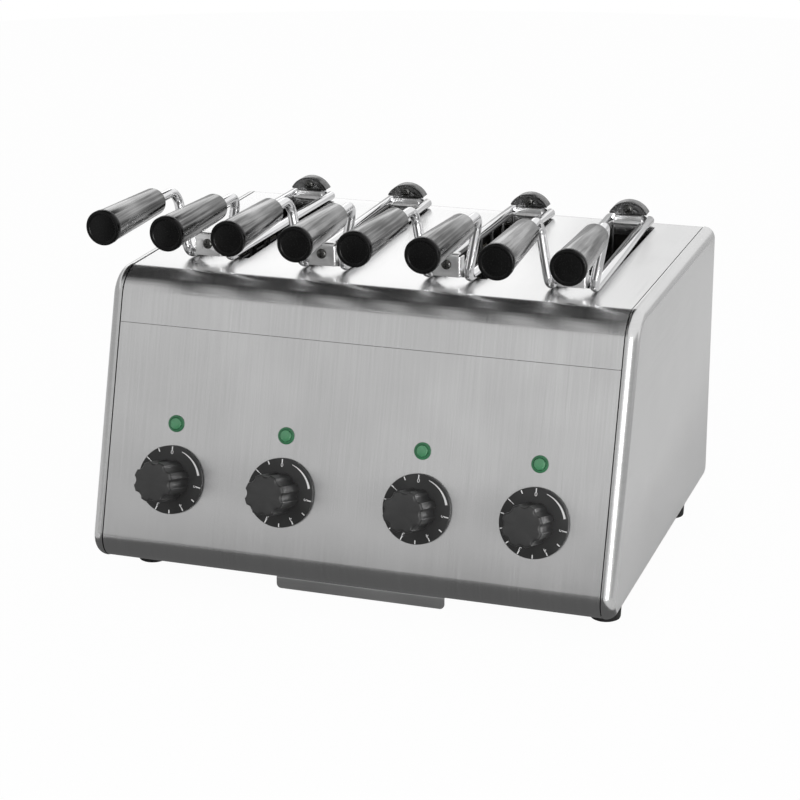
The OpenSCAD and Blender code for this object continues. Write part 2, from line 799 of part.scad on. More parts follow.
// Bent rod: along the slot, up, and forward into the handle
module arm_rod() {
    top = arm_rise;
    end_y = handle_front_y + plug_head + plug_spigot / 2;
    translate([rod_x, 0, rod_h]) rotate([0, arm_tilt, 0]) {
        rod_y(rod_r, -arm_y + slot_bend_r, rod_back_y);
        translate([0, -arm_y + slot_bend_r, slot_bend_r]) bend(slot_bend_r, rod_r, -90);
        translate([0, -arm_y, slot_bend_r]) cylinder(r = rod_r, h = top - slot_bend_r - handle_bend_r);
        translate([0, -arm_y - handle_bend_r, top - handle_bend_r]) bend(handle_bend_r, rod_r, 90);
        translate([0, 0, top]) rod_y(rod_r, end_y, -arm_y - handle_bend_r);
    }
}

// Cage wire: down the slot from the rod and in under the bread
module cage_wire() {
    low = -cage_depth;
    wire_r = wire_d / 2;
    translate([cage_x, 0, low + wire_bend_r]) cylinder(r = wire_r, h = rod_h - low - wire_bend_r);
    translate([cage_x - wire_bend_r, 0, low + wire_bend_r]) rotate([0, 0, 90]) bend(wire_bend_r, wire_r, -90);
    translate([toe_gap / 2, 0, low]) rotate([0, 90, 0])
        cylinder(r = wire_r, h = cage_x - wire_bend_r - toe_gap / 2);
}

module hinge_lug(y) {
    plate_y(y, lug_t) difference() {
        union() {
            translate([0, pivot_h]) circle(d = lug_eye_d);
            translate([0, pivot_h]) rotate(atan2(rod_h - pivot_h, rod_x)) translate([0, -lug_w / 2])
                square([norm([rod_x, rod_h - pivot_h]), lug_w]);
        }
        translate([0, pivot_h]) circle(d = bolt_d + 2 * run_fit);
    }
}

// Handle tube, narrower at the back and closed there round the rod
module handle_tube() {
    front = handle_front_y + plug_head;
    long = handle_back_y - front;
    spigot_room = plug_spigot + lug_gap;
    front_r = handle_d / 2 - handle_wall;
    back_r = handle_back_d / 2 - handle_wall;
    translate([handle_x, front, handle_h]) rotate([-90, 0, 0]) difference() {
        cylinder(d1 = handle_d, d2 = handle_back_d, h = long);
        translate([0, 0, -1]) cylinder(r = front_r, h = spigot_room + 1);
        translate([0, 0, spigot_room - 1])
            cylinder(r1 = front_r - hole_fit, r2 = back_r, h = long - handle_wall - spigot_room + 1);
        cylinder(r = rod_r + run_fit, h = long + 1);
    }
}

module tong_arm(i, side) {
    step = side == "left" ? 0 : lug_step;
    color("whitesmoke") tong_side(i, side) {
        arm_rod();
        hinge_lug(front_lug_y + step);
        hinge_lug(rear_lug_y + step);
        handle_tube();
    }
}

// Bread cage: upright wires, level wires outside them and a top wire along the rod
module tong_cage(i, side) {
    wire_r = wire_d / 2;
    level_x = cage_x + wire_d - weld_depth;
    level_gap = cage_depth / cage_levels;
    level_end = cage_l / 2 + wire_d;
    rail_x = rod_x - rod_r - rail_gap - wire_r;
    rail_end = cage_l / 2 + wire_r / 2;
    wire_step = cage_l / (cage_uprights - 1);
    color("gainsboro") tong_side(i, side) {
        for (k = [0:cage_uprights - 1]) translate([0, wire_step * k - cage_l / 2, 0]) cage_wire();
        for (k = [0:cage_levels - 1]) translate([level_x, 0, -level_gap * (k + 0.5)])
            rod_y(wire_r, -level_end, level_end);
        translate([rail_x, 0, rod_h]) rod_y(wire_r, -rail_end, rail_end);
    }
}

module tong_plug(i, side) {
    spigot_r = handle_d / 2 - handle_wall - hole_fit;
    rod_stop = handle_front_y + plug_head + plug_spigot / 2 - lug_gap;
    color("#181818") tong_side(i, side) translate([handle_x, 0, handle_h]) difference() {
        union() {
            translate([0, handle_front_y + plug_chamfer, 0]) rotate([90, 0, 0])
                cylinder(d1 = plug_d, d2 = plug_d - 2 * plug_chamfer, h = plug_chamfer);
            rod_y(plug_d / 2, handle_front_y + plug_chamfer, handle_front_y + plug_head);
            rod_y(spigot_r, handle_front_y + plug_head, handle_front_y + plug_head + plug_spigot);
        }
        rod_y(rod_r + run_fit, rod_stop, handle_front_y + plug_head + plug_spigot + 1);
    }
}

module bolt_hole() {
    translate([0, pivot_h]) circle(d = bolt_d + 2 * run_fit);
}

// Front bracket: a face between the arms with its top and sides folded back
module front_bracket() {
    half = bracket_w / 2;
    high = bracket_low + bracket_h;
    plate_y(-arm_y - bracket_t / 2, bracket_t) difference() {
        translate([-half, bracket_low]) square([bracket_w, bracket_h]);
        bolt_hole();
    }
    translate([-half, bracket_back_y, high - bracket_t]) cube([bracket_w, bracket_top, bracket_t]);
    for (x = [-half, half - bracket_t])
        translate([x, bracket_back_y, bracket_low]) cube([bracket_t, bracket_side, bracket_h]);
}

// Half-moon bracket: a face with a round rim, a neck between the rods and a foot strip
module moon_bracket() {
    plate_y(moon_y, bracket_t) difference() {
        union() {
            half_moon(moon_r);
            translate([-moon_neck_w / 2, moon_foot_h]) square([moon_neck_w, moon_open_h - moon_foot_h + 1]);
        }
        bolt_hole();
    }
    plate_y(moon_y, moon_rim) difference() {
        half_moon(moon_r);
        translate([0, moon_h]) circle(moon_r - bracket_t);
    }
    translate([-moon_neck_w / 2, moon_y - moon_foot_l, moon_foot_h])
        cube([moon_neck_w, moon_foot_l + bracket_t, bracket_t]);
}

module half_moon(r) {
    intersection() {
        translate([0, moon_h]) circle(r);
        translate([-r, moon_open_h]) square([2 * r, r]);
    }
}

module tong_brackets(i) {
    color("lightgray") at_tong(i) {
        front_bracket();
        moon_bracket();
    }
}

// A hinge bolt with its head in front of a face and a collar behind the lugs
module hinge_bolt(face_y, lug_y) {
    end_y = lug_y + 2 * lug_step;
    translate([0, 0, pivot_h]) {
        rod_y(bolt_head_d / 2, face_y - bolt_head_h, face_y);
        rod_y(bolt_d / 2, face_y, end_y);
        rod_y(bolt_head_d / 2, end_y, end_y + bolt_head_h);
    }
}

module tong_bolts(i) {
    color("gray") at_tong(i) {
        hinge_bolt(-arm_y - bracket_t / 2, front_lug_y);
        hinge_bolt(moon_y, rear_lug_y);
    }
}

// One unbroken tube along the spring's centre line
module tong_spring(i) {
    count = len(spring_line);
    end = (count - 1) * ring_sides;
    function heading(k) = spring_line[min(k + 1, count - 1)] - spring_line[max(k - 1, 0)];
    points = [
        for (k = [0:count - 1]) let (
            t = heading(k) / norm(heading(k)),
            side_raw = cross(t, [0, 1, 0]),
            u = side_raw / norm(side_raw),
            v = cross(t, u)
        ) for (m = [0:ring_sides - 1])
            let (a = 360 * m / ring_sides) spring_line[k] + spring_wire_d / 2 * (u * cos(a) + v * sin(a))
    ];
    skin = [
        for (k = [0:count - 2]) for (m = [0:ring_sides - 1])
            let (a = k * ring_sides + m, b = k * ring_sides + (m + 1) % ring_sides)
                each [[a, b + ring_sides, b], [a, a + ring_sides, b + ring_sides]]
    ];
    fans = [
        for (m = [1:ring_sides - 2]) each [[0, m, m + 1], [end, end + m + 1, end + m]]
    ];
    color("dimgray") at_tong(i) polyhedron(points = points, faces = concat(skin, fans));
}

top_cover();
front_panel();
left_end_cap();
right_end_cap();
rear_panel();
base_plate();
rubber_feet();
pilot_lamps();
timer_bodies();
heater_tubes();
ceramic_ends();
chamber_panels();
terminal_block();
cable_gland();
case_screws();
crumb_tray();
for (i = [0:3]) {
    timer_knob(i);
    timer_shaft(i);
    tong_brackets(i);
    tong_bolts(i);
    tong_spring(i);
    for (side = sides) {
        tong_arm(i, side);
        tong_cage(i, side);
        tong_plug(i, side);
    }
}
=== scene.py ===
import math

import bmesh
import bpy
from mathutils import Matrix, Vector


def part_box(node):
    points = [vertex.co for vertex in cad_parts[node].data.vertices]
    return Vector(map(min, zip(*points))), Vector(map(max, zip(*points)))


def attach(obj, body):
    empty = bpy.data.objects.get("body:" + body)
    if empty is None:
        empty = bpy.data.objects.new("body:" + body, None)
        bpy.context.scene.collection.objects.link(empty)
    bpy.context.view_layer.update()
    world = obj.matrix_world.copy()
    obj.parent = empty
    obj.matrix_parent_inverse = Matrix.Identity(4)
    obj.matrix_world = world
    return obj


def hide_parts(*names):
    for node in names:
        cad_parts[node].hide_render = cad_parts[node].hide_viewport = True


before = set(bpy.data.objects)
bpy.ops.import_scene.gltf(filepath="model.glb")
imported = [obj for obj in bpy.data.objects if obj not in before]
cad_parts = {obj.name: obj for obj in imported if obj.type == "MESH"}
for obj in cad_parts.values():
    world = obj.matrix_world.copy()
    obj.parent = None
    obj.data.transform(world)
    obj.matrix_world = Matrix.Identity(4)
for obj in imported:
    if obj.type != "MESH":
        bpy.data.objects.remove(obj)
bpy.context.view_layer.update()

# Sizes in millimetres and angles in degrees, as in the part's source
MM = 0.001
# Body sheets and end caps
BODY_W, BODY_D, TOP_H, BASE_H, LEAN, SHEET = 395.4, 325, 229, 21, 16.5, 1.2
TOP_BEND, LOW_BEND, BACK_BEND = 25, 17, 10
SEAM_H, BACK_SEAM_H, SEAM_GAP, FRONT_FLANGE = 193, 212, 0.3, 24
CAP_RIM, CAP_GAP, CAP_PROUD, CAP_EDGE, CAP_WALL = 9, 0.8, 0.4, 8.5, 2
# Slots, and what sits on the front, under the base and at the rear
SLOT_W, SLOT_L, SLOT_COLLAR, SLOT_MID, SLOT_EDGE = 38, 183.5, 8, 212, 1.0
SLOT_X = (-133.6, -51.4, 51.4, 133.6)
KNOB_X, KNOB_H, LAMP_H = (-137, -51.4, 51.4, 137), 86.2, 125.6
SHAFT_HOLE_R, LAMP_HOLE_R = 4.5, 4.9
FOOT_X, FOOT_FRONT, FOOT_BACK = 177.2, 69.5, 43
SCREW_INSET, GLAND_X, GLAND_H, CABLE_R = 14, 150, 55, 4.5
# Timer knobs: dial, fluted grip and print
DIAL_R, DIAL_BACK, DIAL_FACE, HUB_R = 25, 0.8, 3.8, 3.1
GRIP_R, GRIP_BACK, GRIP_FACE, GRIP_ROUND = 15, 3.7, 35.8, 2
LOBES, FLUTE_R, FLUTE = 8, 5, 1.8
MARK_FIRST, MARK_STEP, MARK_R, MARK_BACK, MARK_FACE = 98.0, 26.2, 22.6, 3.79, 3.87
FIGURE_H, FIGURE_R, FIGURE_FACE = 2.9, 20.4, 3.84
# Tongs: how each hangs in its slot, then rods, grips, cages, brackets and springs
TONG_SHIFT = (-2.5, 1.2, -2.4, 1.1)
TONG_YAW = (-1.6, 0.4, -1.7, 1.8)
ROD_R, ROD_X, ROD_H, PIVOT_H = 3.6, 15.8, 3.9, 13.5
ARM_Y, ROD_BACK, HANDLE_X, HANDLE_H = 109.1, 97, 24.3, 52.4
HANDLE_BACK, HANDLE_FRONT, PLUG_RIM, ROD_IN_PLUG = -147, -230, 5, 6
WIRE_R, CAGE_X, CAGE_L, CAGE_DEPTH, CAGE_UPRIGHTS, CAGE_LEVELS = 1.2, 10, 160, 130, 7, 3
BRACKET_T, REAR_Y, LUG_T, LUG_GAP, BOLT_R, BOLT_BORE_R = 1.2, 88, 2, 0.3, 2, 2.05
SPRING_R, SPRING_WIRE, SPRING_TURNS, SPRING_PITCH = 3, 0.7, 3.5, 2.2
# Half the width of the sheets, the front of the base along Y, and the lean of the front
SHEET_HALF = BODY_W / 2 - CAP_RIM - CAP_GAP
ORIGIN_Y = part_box("rear_panel")[1].y / MM - BODY_D
TAN, COS, SIN = (f(math.radians(LEAN)) for f in (math.tan, math.cos, math.sin))

# The camera's place in millimetres from the front of the base, its turns in degrees, and its lens
CAMERA_X, CAMERA_Y, CAMERA_Z = 541.69, -1473.16, 697.3
CAMERA_AZIMUTH, CAMERA_ELEVATION, CAMERA_ROLL = 18.629, 18.644, -0.139
LENS, SENSOR = 107.496, 36

# Radius that closes a turned shape at its axis, and the least angle of an edge to be rounded
AXIS_R, BEVEL_FROM = 0.05, 50


# Camera at the photograph's place
def make_camera():
    turns = CAMERA_AZIMUTH, CAMERA_ELEVATION, CAMERA_ROLL
    az, el, roll = (math.radians(v) for v in turns)
    back = Vector((math.sin(az) * math.cos(el), -math.cos(az) * math.cos(el), math.sin(el)))
    right = Vector((math.cos(az), math.sin(az), 0))
    up = back.cross(right)
    side = right * math.cos(roll) + up * math.sin(roll)
    top = up * math.cos(roll) - right * math.sin(roll)
    data = bpy.data.cameras.new("photo_camera")
    data.lens, data.sensor_width = LENS, SENSOR
    camera = bpy.data.objects.new("photo_camera", data)
    bpy.context.scene.collection.objects.link(camera)
    place = Matrix((side, top, back)).transposed().to_4x4()
    place.translation = Vector((CAMERA_X, CAMERA_Y + ORIGIN_Y, CAMERA_Z)) * MM
    camera.matrix_world = place
    bpy.context.scene.camera = camera


make_camera()


# Shapes are pairs of points in millimetres and faces
def joined(*shapes):
    points, faces = [], []
    for more_points, more_faces in shapes:
        start = len(points)
        points += more_points
        faces += [[i + start for i in face] for face in more_faces]
    return points, faces


def moved(shape, place):
    return [place @ p for p in shape[0]], shape[1]


def mirrored(shape):
    return [Vector((-p.x, p.y, p.z)) for p in shape[0]], [face[::-1] for face in shape[1]]


def shift(x, y, z):
    return Matrix.Translation((x, y, z))


def turn(degrees, axis):
    return Matrix.Rotation(math.radians(degrees), 4, axis)


def skin(rings, loop=False):
    """Rings of equally many points, joined one to the next and closed at both ends."""
    n, count = len(rings[0]), len(rings)
    points = [Vector(p) for ring in rings for p in ring]
    faces = []
    for j in range(count if loop else count - 1):
        for k in range(n):
            a, b, c = j * n + k, j * n + (k + 1) % n, (j + 1) % count * n
            faces.append([a, b, c + (k + 1) % n, c + k])
    if not loop:
        faces += [list(range(n))[::-1], [(count - 1) * n + k for k in range(n)]]
    return points, faces


def lathe(profile, n=48, loop=False):
    """A profile of radius and height, turned round Z."""
    angles = [2 * math.pi * k / n for k in range(n)]
    rings = [[(r * math.cos(a), r * math.sin(a), h) for a in angles] for r, h in profile]
    return skin(rings, loop)


def rounded_path(corners, radii, steps=8):
    """A polyline whose inner corners are bent to the given radii."""
    corners = [Vector(c) for c in corners]
    path = [corners[0]]
    for before, corner, after, radius in zip(corners, corners[1:], corners[2:], radii):
        a, b = (before - corner).normalized(), (after - corner).normalized()
        half = a.angle(b) / 2
        centre = corner + (a + b).normalized() * (radius / math.sin(half))
        first = corner + a * (radius / math.tan(half)) - centre
        last = corner + b * (radius / math.tan(half)) - centre
        sweep = first.angle(last)
        for k in range(steps + 1):
            f = k / steps
            reach = first * math.sin((1 - f) * sweep) + last * math.sin(f * sweep)
            path.append(centre + reach / math.sin(sweep))
    return path + [corners[-1]]


def tube(path, radius, sides=16, nose=0):
    """A round bar along a path, its ends rounded over the length of nose."""
    path = [Vector(p) for p in path]
    last = len(path) - 1
    end_angles = (0.0, 0.6, 1.1, 1.5)
    rounding = [(nose - nose * math.sin(a), 1 - nose / radius * (1 - math.cos(a)))
                for a in end_angles]
    rings = []
    normal = None
    for k, p in enumerate(path):
        along = (path[min(k + 1, last)] - path[max(k - 1, 0)]).normalized()
        if normal is None:
            normal = along.orthogonal().normalized()
        normal = (normal - along * normal.dot(along)).normalized()
        other = along.cross(normal)
        steps = [(0, 1)]
        if nose and k == 0:
            steps = rounding[::-1]
        if nose and k == last:
            steps = [(-s, f) for s, f in rounding]
        for s, f in steps:
            rings.append([
                p + along * s + (normal * math.cos(2 * math.pi * m / sides)
                                 + other * math.sin(2 * math.pi * m / sides)) * radius * f
                for m in range(sides)
            ])
    return skin(rings)


def plate(outline, y0, thick):
    """A flat plate across Y, its outline in x and z."""
    return skin([[(x, y, z) for x, z in outline] for y in (y0, y0 + thick)])


def strip(path, thick, low, high, put):
    """A folded sheet: a flat path given thickness to its left, carried from low to high by put."""
    path = [Vector(p) for p in path]
    inner = []
    for k, p in enumerate(path):
        before = (p - path[k - 1]).normalized() if k else (path[1] - p).normalized()
        after = (path[k + 1] - p).normalized() if k < len(path) - 1 else before
        normal = Vector((-(before + after).y, (before + after).x)).normalized()
        inner.append(p + normal * thick / max(normal.dot(Vector((-before.y, before.x))), 0.3))
    section = path + inner[::-1]
    return skin([[put(p.x, p.y, w) for p in section] for w in (low, high)])


def bent(corners, radii, steps=6):
    """A flat path with bent corners, for a folded sheet."""
    return [(p.x, p.y) for p in rounded_path([(a, b, 0) for a, b in corners], radii, steps)]


def box(low, high):
    (x0, y0, z0), (x1, y1, z1) = low, high
    return skin([[(x0, y0, z), (x1, y0, z), (x1, y1, z), (x0, y1, z)] for z in (z0, z1)])


def arc(cx, cy, radius, first, last, steps):
    angles = [math.radians(first + (last - first) * k / steps) for k in range(steps + 1)]
    return [(cx + radius * math.cos(a), cy + radius * math.sin(a)) for a in angles]


# How a strip's path lies: seen from above, from the side or from the front
def from_above(x, y, z):
    return x, y, z


def from_side(y, z, x):
    return x, y, z


def from_front(x, z, y):
    return x, y, z


# Meshes and objects
def to_mesh(name, shape, outward=True):
    mesh = bpy.data.meshes.new(name)
    mesh.from_pydata([p * MM for p in shape[0]], [], shape[1])
    if outward:
        work = bmesh.new()
        work.from_mesh(mesh)
        bmesh.ops.recalc_face_normals(work, faces=work.faces)
        work.to_mesh(mesh)
        work.free()
    mesh.update()
    return mesh


def to_object(name, data):
    made = bpy.data.objects.new(name, data)
    bpy.context.scene.collection.objects.link(made)
    return made


def worked_mesh(made):
    """The object's mesh with its modifiers worked in."""
    bpy.context.view_layer.update()
    seen = made.evaluated_get(bpy.context.evaluated_depsgraph_get())
    return bpy.data.meshes.new_from_object(seen)


def to_shape(made):
    """The object's worked shape; the object itself is taken away."""
    mesh = worked_mesh(made)
    shape = [v.co / MM for v in mesh.vertices], [list(p.vertices) for p in mesh.polygons]
    bpy.data.objects.remove(made)
    return shape


def add_bevel(made, width, segments):
    rounding = made.modifiers.new("edge", "BEVEL")
    rounding.width, rounding.segments, rounding.limit_method = width * MM, segments, "ANGLE"
    rounding.angle_limit = math.radians(BEVEL_FROM)


def cut(shape, tool):
    """A shape with another one taken out of it."""
    made = to_object("cut", to_mesh("cut", shape))
    knife = to_object("knife", to_mesh("knife", tool))
    boolean = made.modifiers.new("cut", "BOOLEAN")
    boolean.operation, boolean.object, boolean.solver = "DIFFERENCE", knife, "EXACT"
    result = to_shape(made)
    bpy.data.objects.remove(knife)
    return result


def piece(name, body, shape, material, stands_for=(), bevel=0, sharp=32, outward=True):
    """A finished piece that rides on a body, stands for some solids and has a colour slot."""
    made = to_object(name, to_mesh(name, shape, outward))
    if bevel:
        add_bevel(made, bevel, 3)
        mesh = worked_mesh(made)
        made.modifiers.clear()
        made.data = mesh
    made.data.shade_smooth()
    made.data.set_sharp_from_angle(angle=math.radians(sharp))
    made.data.materials.clear()
    made.data.materials.append(material)
    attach(made, body)
    if stands_for:
        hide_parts(*stands_for)


def dress(node, material):
    """A solid that shows as it is gets a worked finish."""
    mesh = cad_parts[node].data
    mesh.materials.clear()
    mesh.materials.append(material)


# Node trees
def add_node(tree, kind, links=None, **settings):
    made = tree.nodes.new(kind)
    for key, value in settings.items():
        setattr(made, key, value)
    for socket, value in (links or {}).items():
        target = made.inputs[socket]
        if isinstance(value, bpy.types.NodeSocket):
            tree.links.new(value, target)
        else:
            target.default_value = value
    return made


def start_tree(name, **inputs):
    """A geometry tree, the identifiers of its inputs, and the sockets that give their values."""
    tree = bpy.data.node_groups.new(name, "GeometryNodeTree")
    ids = {}
    for key, kind in inputs.items():
        socket = tree.interface.new_socket(key, in_out="INPUT", socket_type=f"NodeSocket{kind}")
        ids[key] = socket.identifier
    tree.interface.new_socket("Geometry", in_out="OUTPUT", socket_type="NodeSocketGeometry")
    return tree, ids, add_node(tree, "NodeGroupInput").outputs


def end_tree(tree, geometry, finish):
    real = add_node(tree, "GeometryNodeRealizeInstances", {"Geometry": geometry})
    done = add_node(tree, "GeometryNodeSetMaterial",
                    {"Geometry": real.outputs[0], "Material": finish})
    add_node(tree, "NodeGroupOutput", {"Geometry": done.outputs[0]})


def make_repeat_tree():
    """Repeats the object's own mesh: each copy is moved on by Step and turned on by Turn."""
    tree, ids, source = start_tree("repeat", Geometry="Geometry", Count="Int", Step="Vector",
                                   Turn="Float", Finish="Material")
    index = add_node(tree, "GeometryNodeInputIndex").outputs[0]
    offset = add_node(tree, "ShaderNodeVectorMath", {0: source["Step"], "Scale": index},
                      operation="SCALE").outputs[0]
    points = add_node(tree, "GeometryNodePoints",
                      {"Count": source["Count"], "Position": offset}).outputs[0]
    angle = add_node(tree, "ShaderNodeMath", {0: source["Turn"], 1: index},
                     operation="MULTIPLY").outputs[0]
    rotation = add_node(tree, "ShaderNodeCombineXYZ", {"Z": angle}).outputs[0]
    copies = add_node(tree, "GeometryNodeInstanceOnPoints", {
        "Points": points, "Instance": source["Geometry"], "Rotation": rotation}).outputs[0]
    end_tree(tree, copies, source["Finish"])
    return tree, ids


def make_coil_tree():
    """A coil of round wire along Z from its turns, radius, height and wire."""
    tree, ids, source = start_tree("coil", Turns="Float", Radius="Float", Height="Float",
                                   Wire="Float", Finish="Material")
    line = add_node(tree, "GeometryNodeCurveSpiral", {
        "Resolution": 32, "Rotations": source["Turns"], "Start Radius": source["Radius"],
        "End Radius": source["Radius"], "Height": source["Height"]}).outputs[0]
    ring = add_node(tree, "GeometryNodeCurvePrimitiveCircle",
                    {"Resolution": 12, "Radius": source["Wire"]}).outputs[0]
    wire = add_node(tree, "GeometryNodeCurveToMesh",
                    {"Curve": line, "Profile Curve": ring, "Fill Caps": True}).outputs[0]
    end_tree(tree, wire, source["Finish"])
    return tree, ids


repeat_tree, repeat_ids = make_repeat_tree()
coil_tree, coil_ids = make_coil_tree()


def grown(shape, tree, ids, values):
    """What a node tree makes of a shape, as a shape."""
    made = to_object("grown", to_mesh("grown", shape))
    modifier = made.modifiers.new("grown", "NODES")
    modifier.node_group = tree
    for name, value in values.items():
        modifier[ids[name]] = value
    return to_shape(made)


def repeated(shape, count, finish, step=(0, 0, 0), angle=0.0):
    step = [s * MM for s in step]
    return grown(shape, repeat_tree, repeat_ids,
                 {"Count": count, "Step": step, "Turn": math.radians(angle), "Finish": finish})


# Materials; noise stays almost wholly between these values
NOISE_LOW, NOISE_HIGH = 0.3, 0.7


def linear(hex_colour):
    channels = [int(hex_colour[k:k + 2], 16) / 255 for k in (1, 3, 5)]
    channels = [c / 12.92 if c <= 0.04045 else ((c + 0.055) / 1.055) ** 2.4 for c in channels]
    return tuple(channels) + (1.0,)


def mean_noise(tree, place, noises):
    """The mean of noises, each with a detail and features of a size in millimetres on each axis."""
    total = None
    for size_mm, detail in noises:
        scale = tuple(1 / (s * MM) for s in size_mm)
        spot = add_node(tree, "ShaderNodeMapping", {"Vector": place, "Scale": scale}).outputs[0]
        noise = add_node(tree, "ShaderNodeTexNoise",
                         {"Vector": spot, "Scale": 1.0, "Detail": detail}).outputs["Fac"]
        if total is not None:
            noise = add_node(tree, "ShaderNodeMath", {0: total, 1: noise},
                             operation="ADD").outputs[0]
        total = noise
    return add_node(tree, "ShaderNodeMath", {0: total, 1: 1 / len(noises)},
                    operation="MULTIPLY").outputs[0]


def make_finish(name, tint, sheen, relief=None, **shader):
    """A material with one shader, its fixed values on the shader's own sockets.

    Tint, sheen and relief each follow the mean of some noises. Tint goes from dark to light, more
    suddenly with a smaller reach. Sheen goes from smooth to rough. Relief has a strength and a
    depth.
    """
    material = bpy.data.materials.new(name)
    material.use_nodes = True
    tree = material.node_tree
    tree.nodes.clear()
    main = add_node(tree, "ShaderNodeBsdfPrincipled",
                    {key.replace("_", " "): value for key, value in shader.items()})
    add_node(tree, "ShaderNodeOutputMaterial", {"Surface": main.outputs[0]})
    place = add_node(tree, "ShaderNodeTexCoord").outputs["Object"]
    if tint:
        noises, dark, light, reach = tint
        ramp = add_node(tree, "ShaderNodeValToRGB", {"Fac": mean_noise(tree, place, noises)})
        low, high = ramp.color_ramp.elements
        low.position, low.color = 0.5 - reach, linear(dark)
        high.position, high.color = 0.5 + reach, linear(light)
        tree.links.new(ramp.outputs[0], main.inputs["Base Color"])
    noises, smooth, rough = sheen
    spread = add_node(tree, "ShaderNodeMapRange", {
        "Value": mean_noise(tree, place, noises), "From Min": NOISE_LOW, "From Max": NOISE_HIGH,
        "To Min": smooth, "To Max": rough})
    tree.links.new(spread.outputs[0], main.inputs["Roughness"])
    if relief:
        noises, strength, depth_mm = relief
        bump = add_node(tree, "ShaderNodeBump", {
            "Height": mean_noise(tree, place, noises), "Strength": strength,
            "Distance": depth_mm * MM})
        tree.links.new(bump.outputs[0], main.inputs["Normal"])
    return material


def ground_steel(name, size_mm, dark, light, smooth, rough, reach=0.2, **shader):
    # Ground or rubbed metal: long fine scratches one way, so reflections smear across them.
    # Real scratches are about 0.1 mm apart, and are drawn about 1 mm apart to show.
    scratch, cloud = (size_mm, 4.0), ((60, 60, 60), 2.0)
    return make_finish(name, ([scratch, cloud], dark, light, reach),
                       ([scratch, cloud], smooth, rough), ([scratch], 0.025, 0.03),
                       Metallic=1.0, **shader)


def make_front_steel():
    # Belt-ground stainless sheet: its scratches run up the front and smear reflections sideways.
    material = ground_steel("brushed_stainless_front", (0.9, 70, 70), "#CECECE", "#DADADA",
                            0.2, 0.26, Anisotropic=0.8, Anisotropic_Rotation=0.25)
    tree = material.node_tree
    tangent = add_node(tree, "ShaderNodeTangent", direction_type="RADIAL", axis="X").outputs[0]
    tree.links.new(tangent, tree.nodes["Principled BSDF"].inputs["Tangent"])
    return material


def make_chrome():
    # Polished chrome plate over steel rod: mirror bright, with hairline wipe marks along it.
    wipe, ripple = ((1.2, 60, 1.2), 3.0), ((6, 40, 6), 1.0)
    return make_finish("polished_chrome", None, ([wipe], 0.05, 0.13), ([ripple], 0.06, 0.05),
                       Metallic=1.0, Base_Color=linear("#E6E6E7"))


def plain_steel(name, size_mm, dark, light, smooth, rough):
    # Small steel pieces: a cloudy surface with no scratches to see.
    cloud = ((size_mm,) * 3, 2.0)
    return make_finish(name, ([cloud], dark, light, 0.2), ([cloud], smooth, rough), Metallic=1.0)


def moulded(name, dark, light, smooth, rough, grit_mm, bump, **shader):
    # Moulded plastic or rubber: one colour through, a fine moulded grain and soft sheen.
    cloud, grit = ((14, 14, 14), 3.0), ((grit_mm,) * 3, 2.0)
    return make_finish(name, ([cloud], dark, light, 0.2), ([grit], smooth, rough),
                       ([grit], bump, 0.03), **shader)


front_steel = make_front_steel()
chrome = make_chrome()
# Belt-ground stainless caps: scratches along the depth, a little smoother than the front
cap_steel = ground_steel("brushed_stainless_caps", (70, 90, 0.9), "#CECECE", "#D8D8D8", 0.16, 0.23)
# Mill finish: rolled sheet as it comes, dull and even
inner_steel = ground_steel("mill_finish_steel", (9, 30, 9), "#A8A8A8", "#B8B8B8", 0.35, 0.5)
# Stainless tray: wiped often, so its sheen is soft
tray_steel = ground_steel("tray_stainless", (40, 40, 1.0), "#D0D0D0", "#DCDCDC", 0.3, 0.42)
# Dull nickel plate: the dark and light streaks along the grip are painted reflections of the studio
grip_painted_reflections = ground_steel("grip_tube_painted_reflections", (2.0, 75, 2.0), "#242424", "#989898",
                           0.1, 0.18, 0.1)
# Heat-tinted steel: brownish grey from years beside the heaters
chamber_steel = ground_steel("heat_tinted_steel", (9, 30, 9), "#3E3C3A", "#54524F", 0.35, 0.5)
# Grey wire with little shine left: its dark grey is painted shade for cages down in the dark slots
cage_wire = ground_steel("cage_wire_painted_shade", (1, 1, 20), "#4A4A4A", "#6E6E6E", 0.3, 0.42)
# Dark steel with cloudy light and dark patches, on the half-moon over the slot
half_moon_steel = ground_steel("dark_mottled_steel", (3, 3, 3), "#3A3A3A", "#8A8A8A", 0.2, 0.34)
# Satin steel: a bright, even bracket
bracket_steel = ground_steel("satin_bracket_steel", (0.8, 20, 20), "#E2E2E2", "#EEEEEE",
                             0.26, 0.36)
# Zinc plate on screws: greyish and slightly cloudy
bolt_steel = plain_steel("zinc_plated_steel", 1.5, "#3C3C3B", "#6E6E6C", 0.22, 0.4)
# Drawn spring wire: darker steel with faint drawing marks
spring_steel = plain_steel("spring_wire", 0.6, "#7A7A7A", "#A4A4A4", 0.2, 0.35)
# Black plug plastic: almost no reflection from the front
plug_black = moulded("black_end_plug_plastic", "#0A0A0A", "#101010", 0.2, 0.3, 1.2, 0.05,
                     Specular_IOR_Level=0.12)
# Phenolic knob: dark grey with a sheen on the edges of its flutes
knob_black = moulded("knob_phenolic", "#262626", "#2C2C2C", 0.32, 0.42, 0.5, 0.12)
# Phenolic dial: flatter and darker than the grip
dial_black = moulded("dial_phenolic", "#222222", "#2A2A2A", 0.4, 0.5, 0.5, 0.1,
                     Specular_IOR_Level=0.3)
# Foot rubber: black and matt
foot_rubber = moulded("foot_rubber", "#121212", "#1A1A1A", 0.6, 0.8, 0.4, 0.25)
# Gland nylon: black with a dull sheen
gland_nylon = moulded("gland_nylon", "#151515", "#1C1C1C", 0.45, 0.6, 0.5, 0.1)
# Timer phenolic: brownish black
timer_shell = moulded("timer_phenolic", "#2A2622", "#332E29", 0.45, 0.6, 0.6, 0.1)
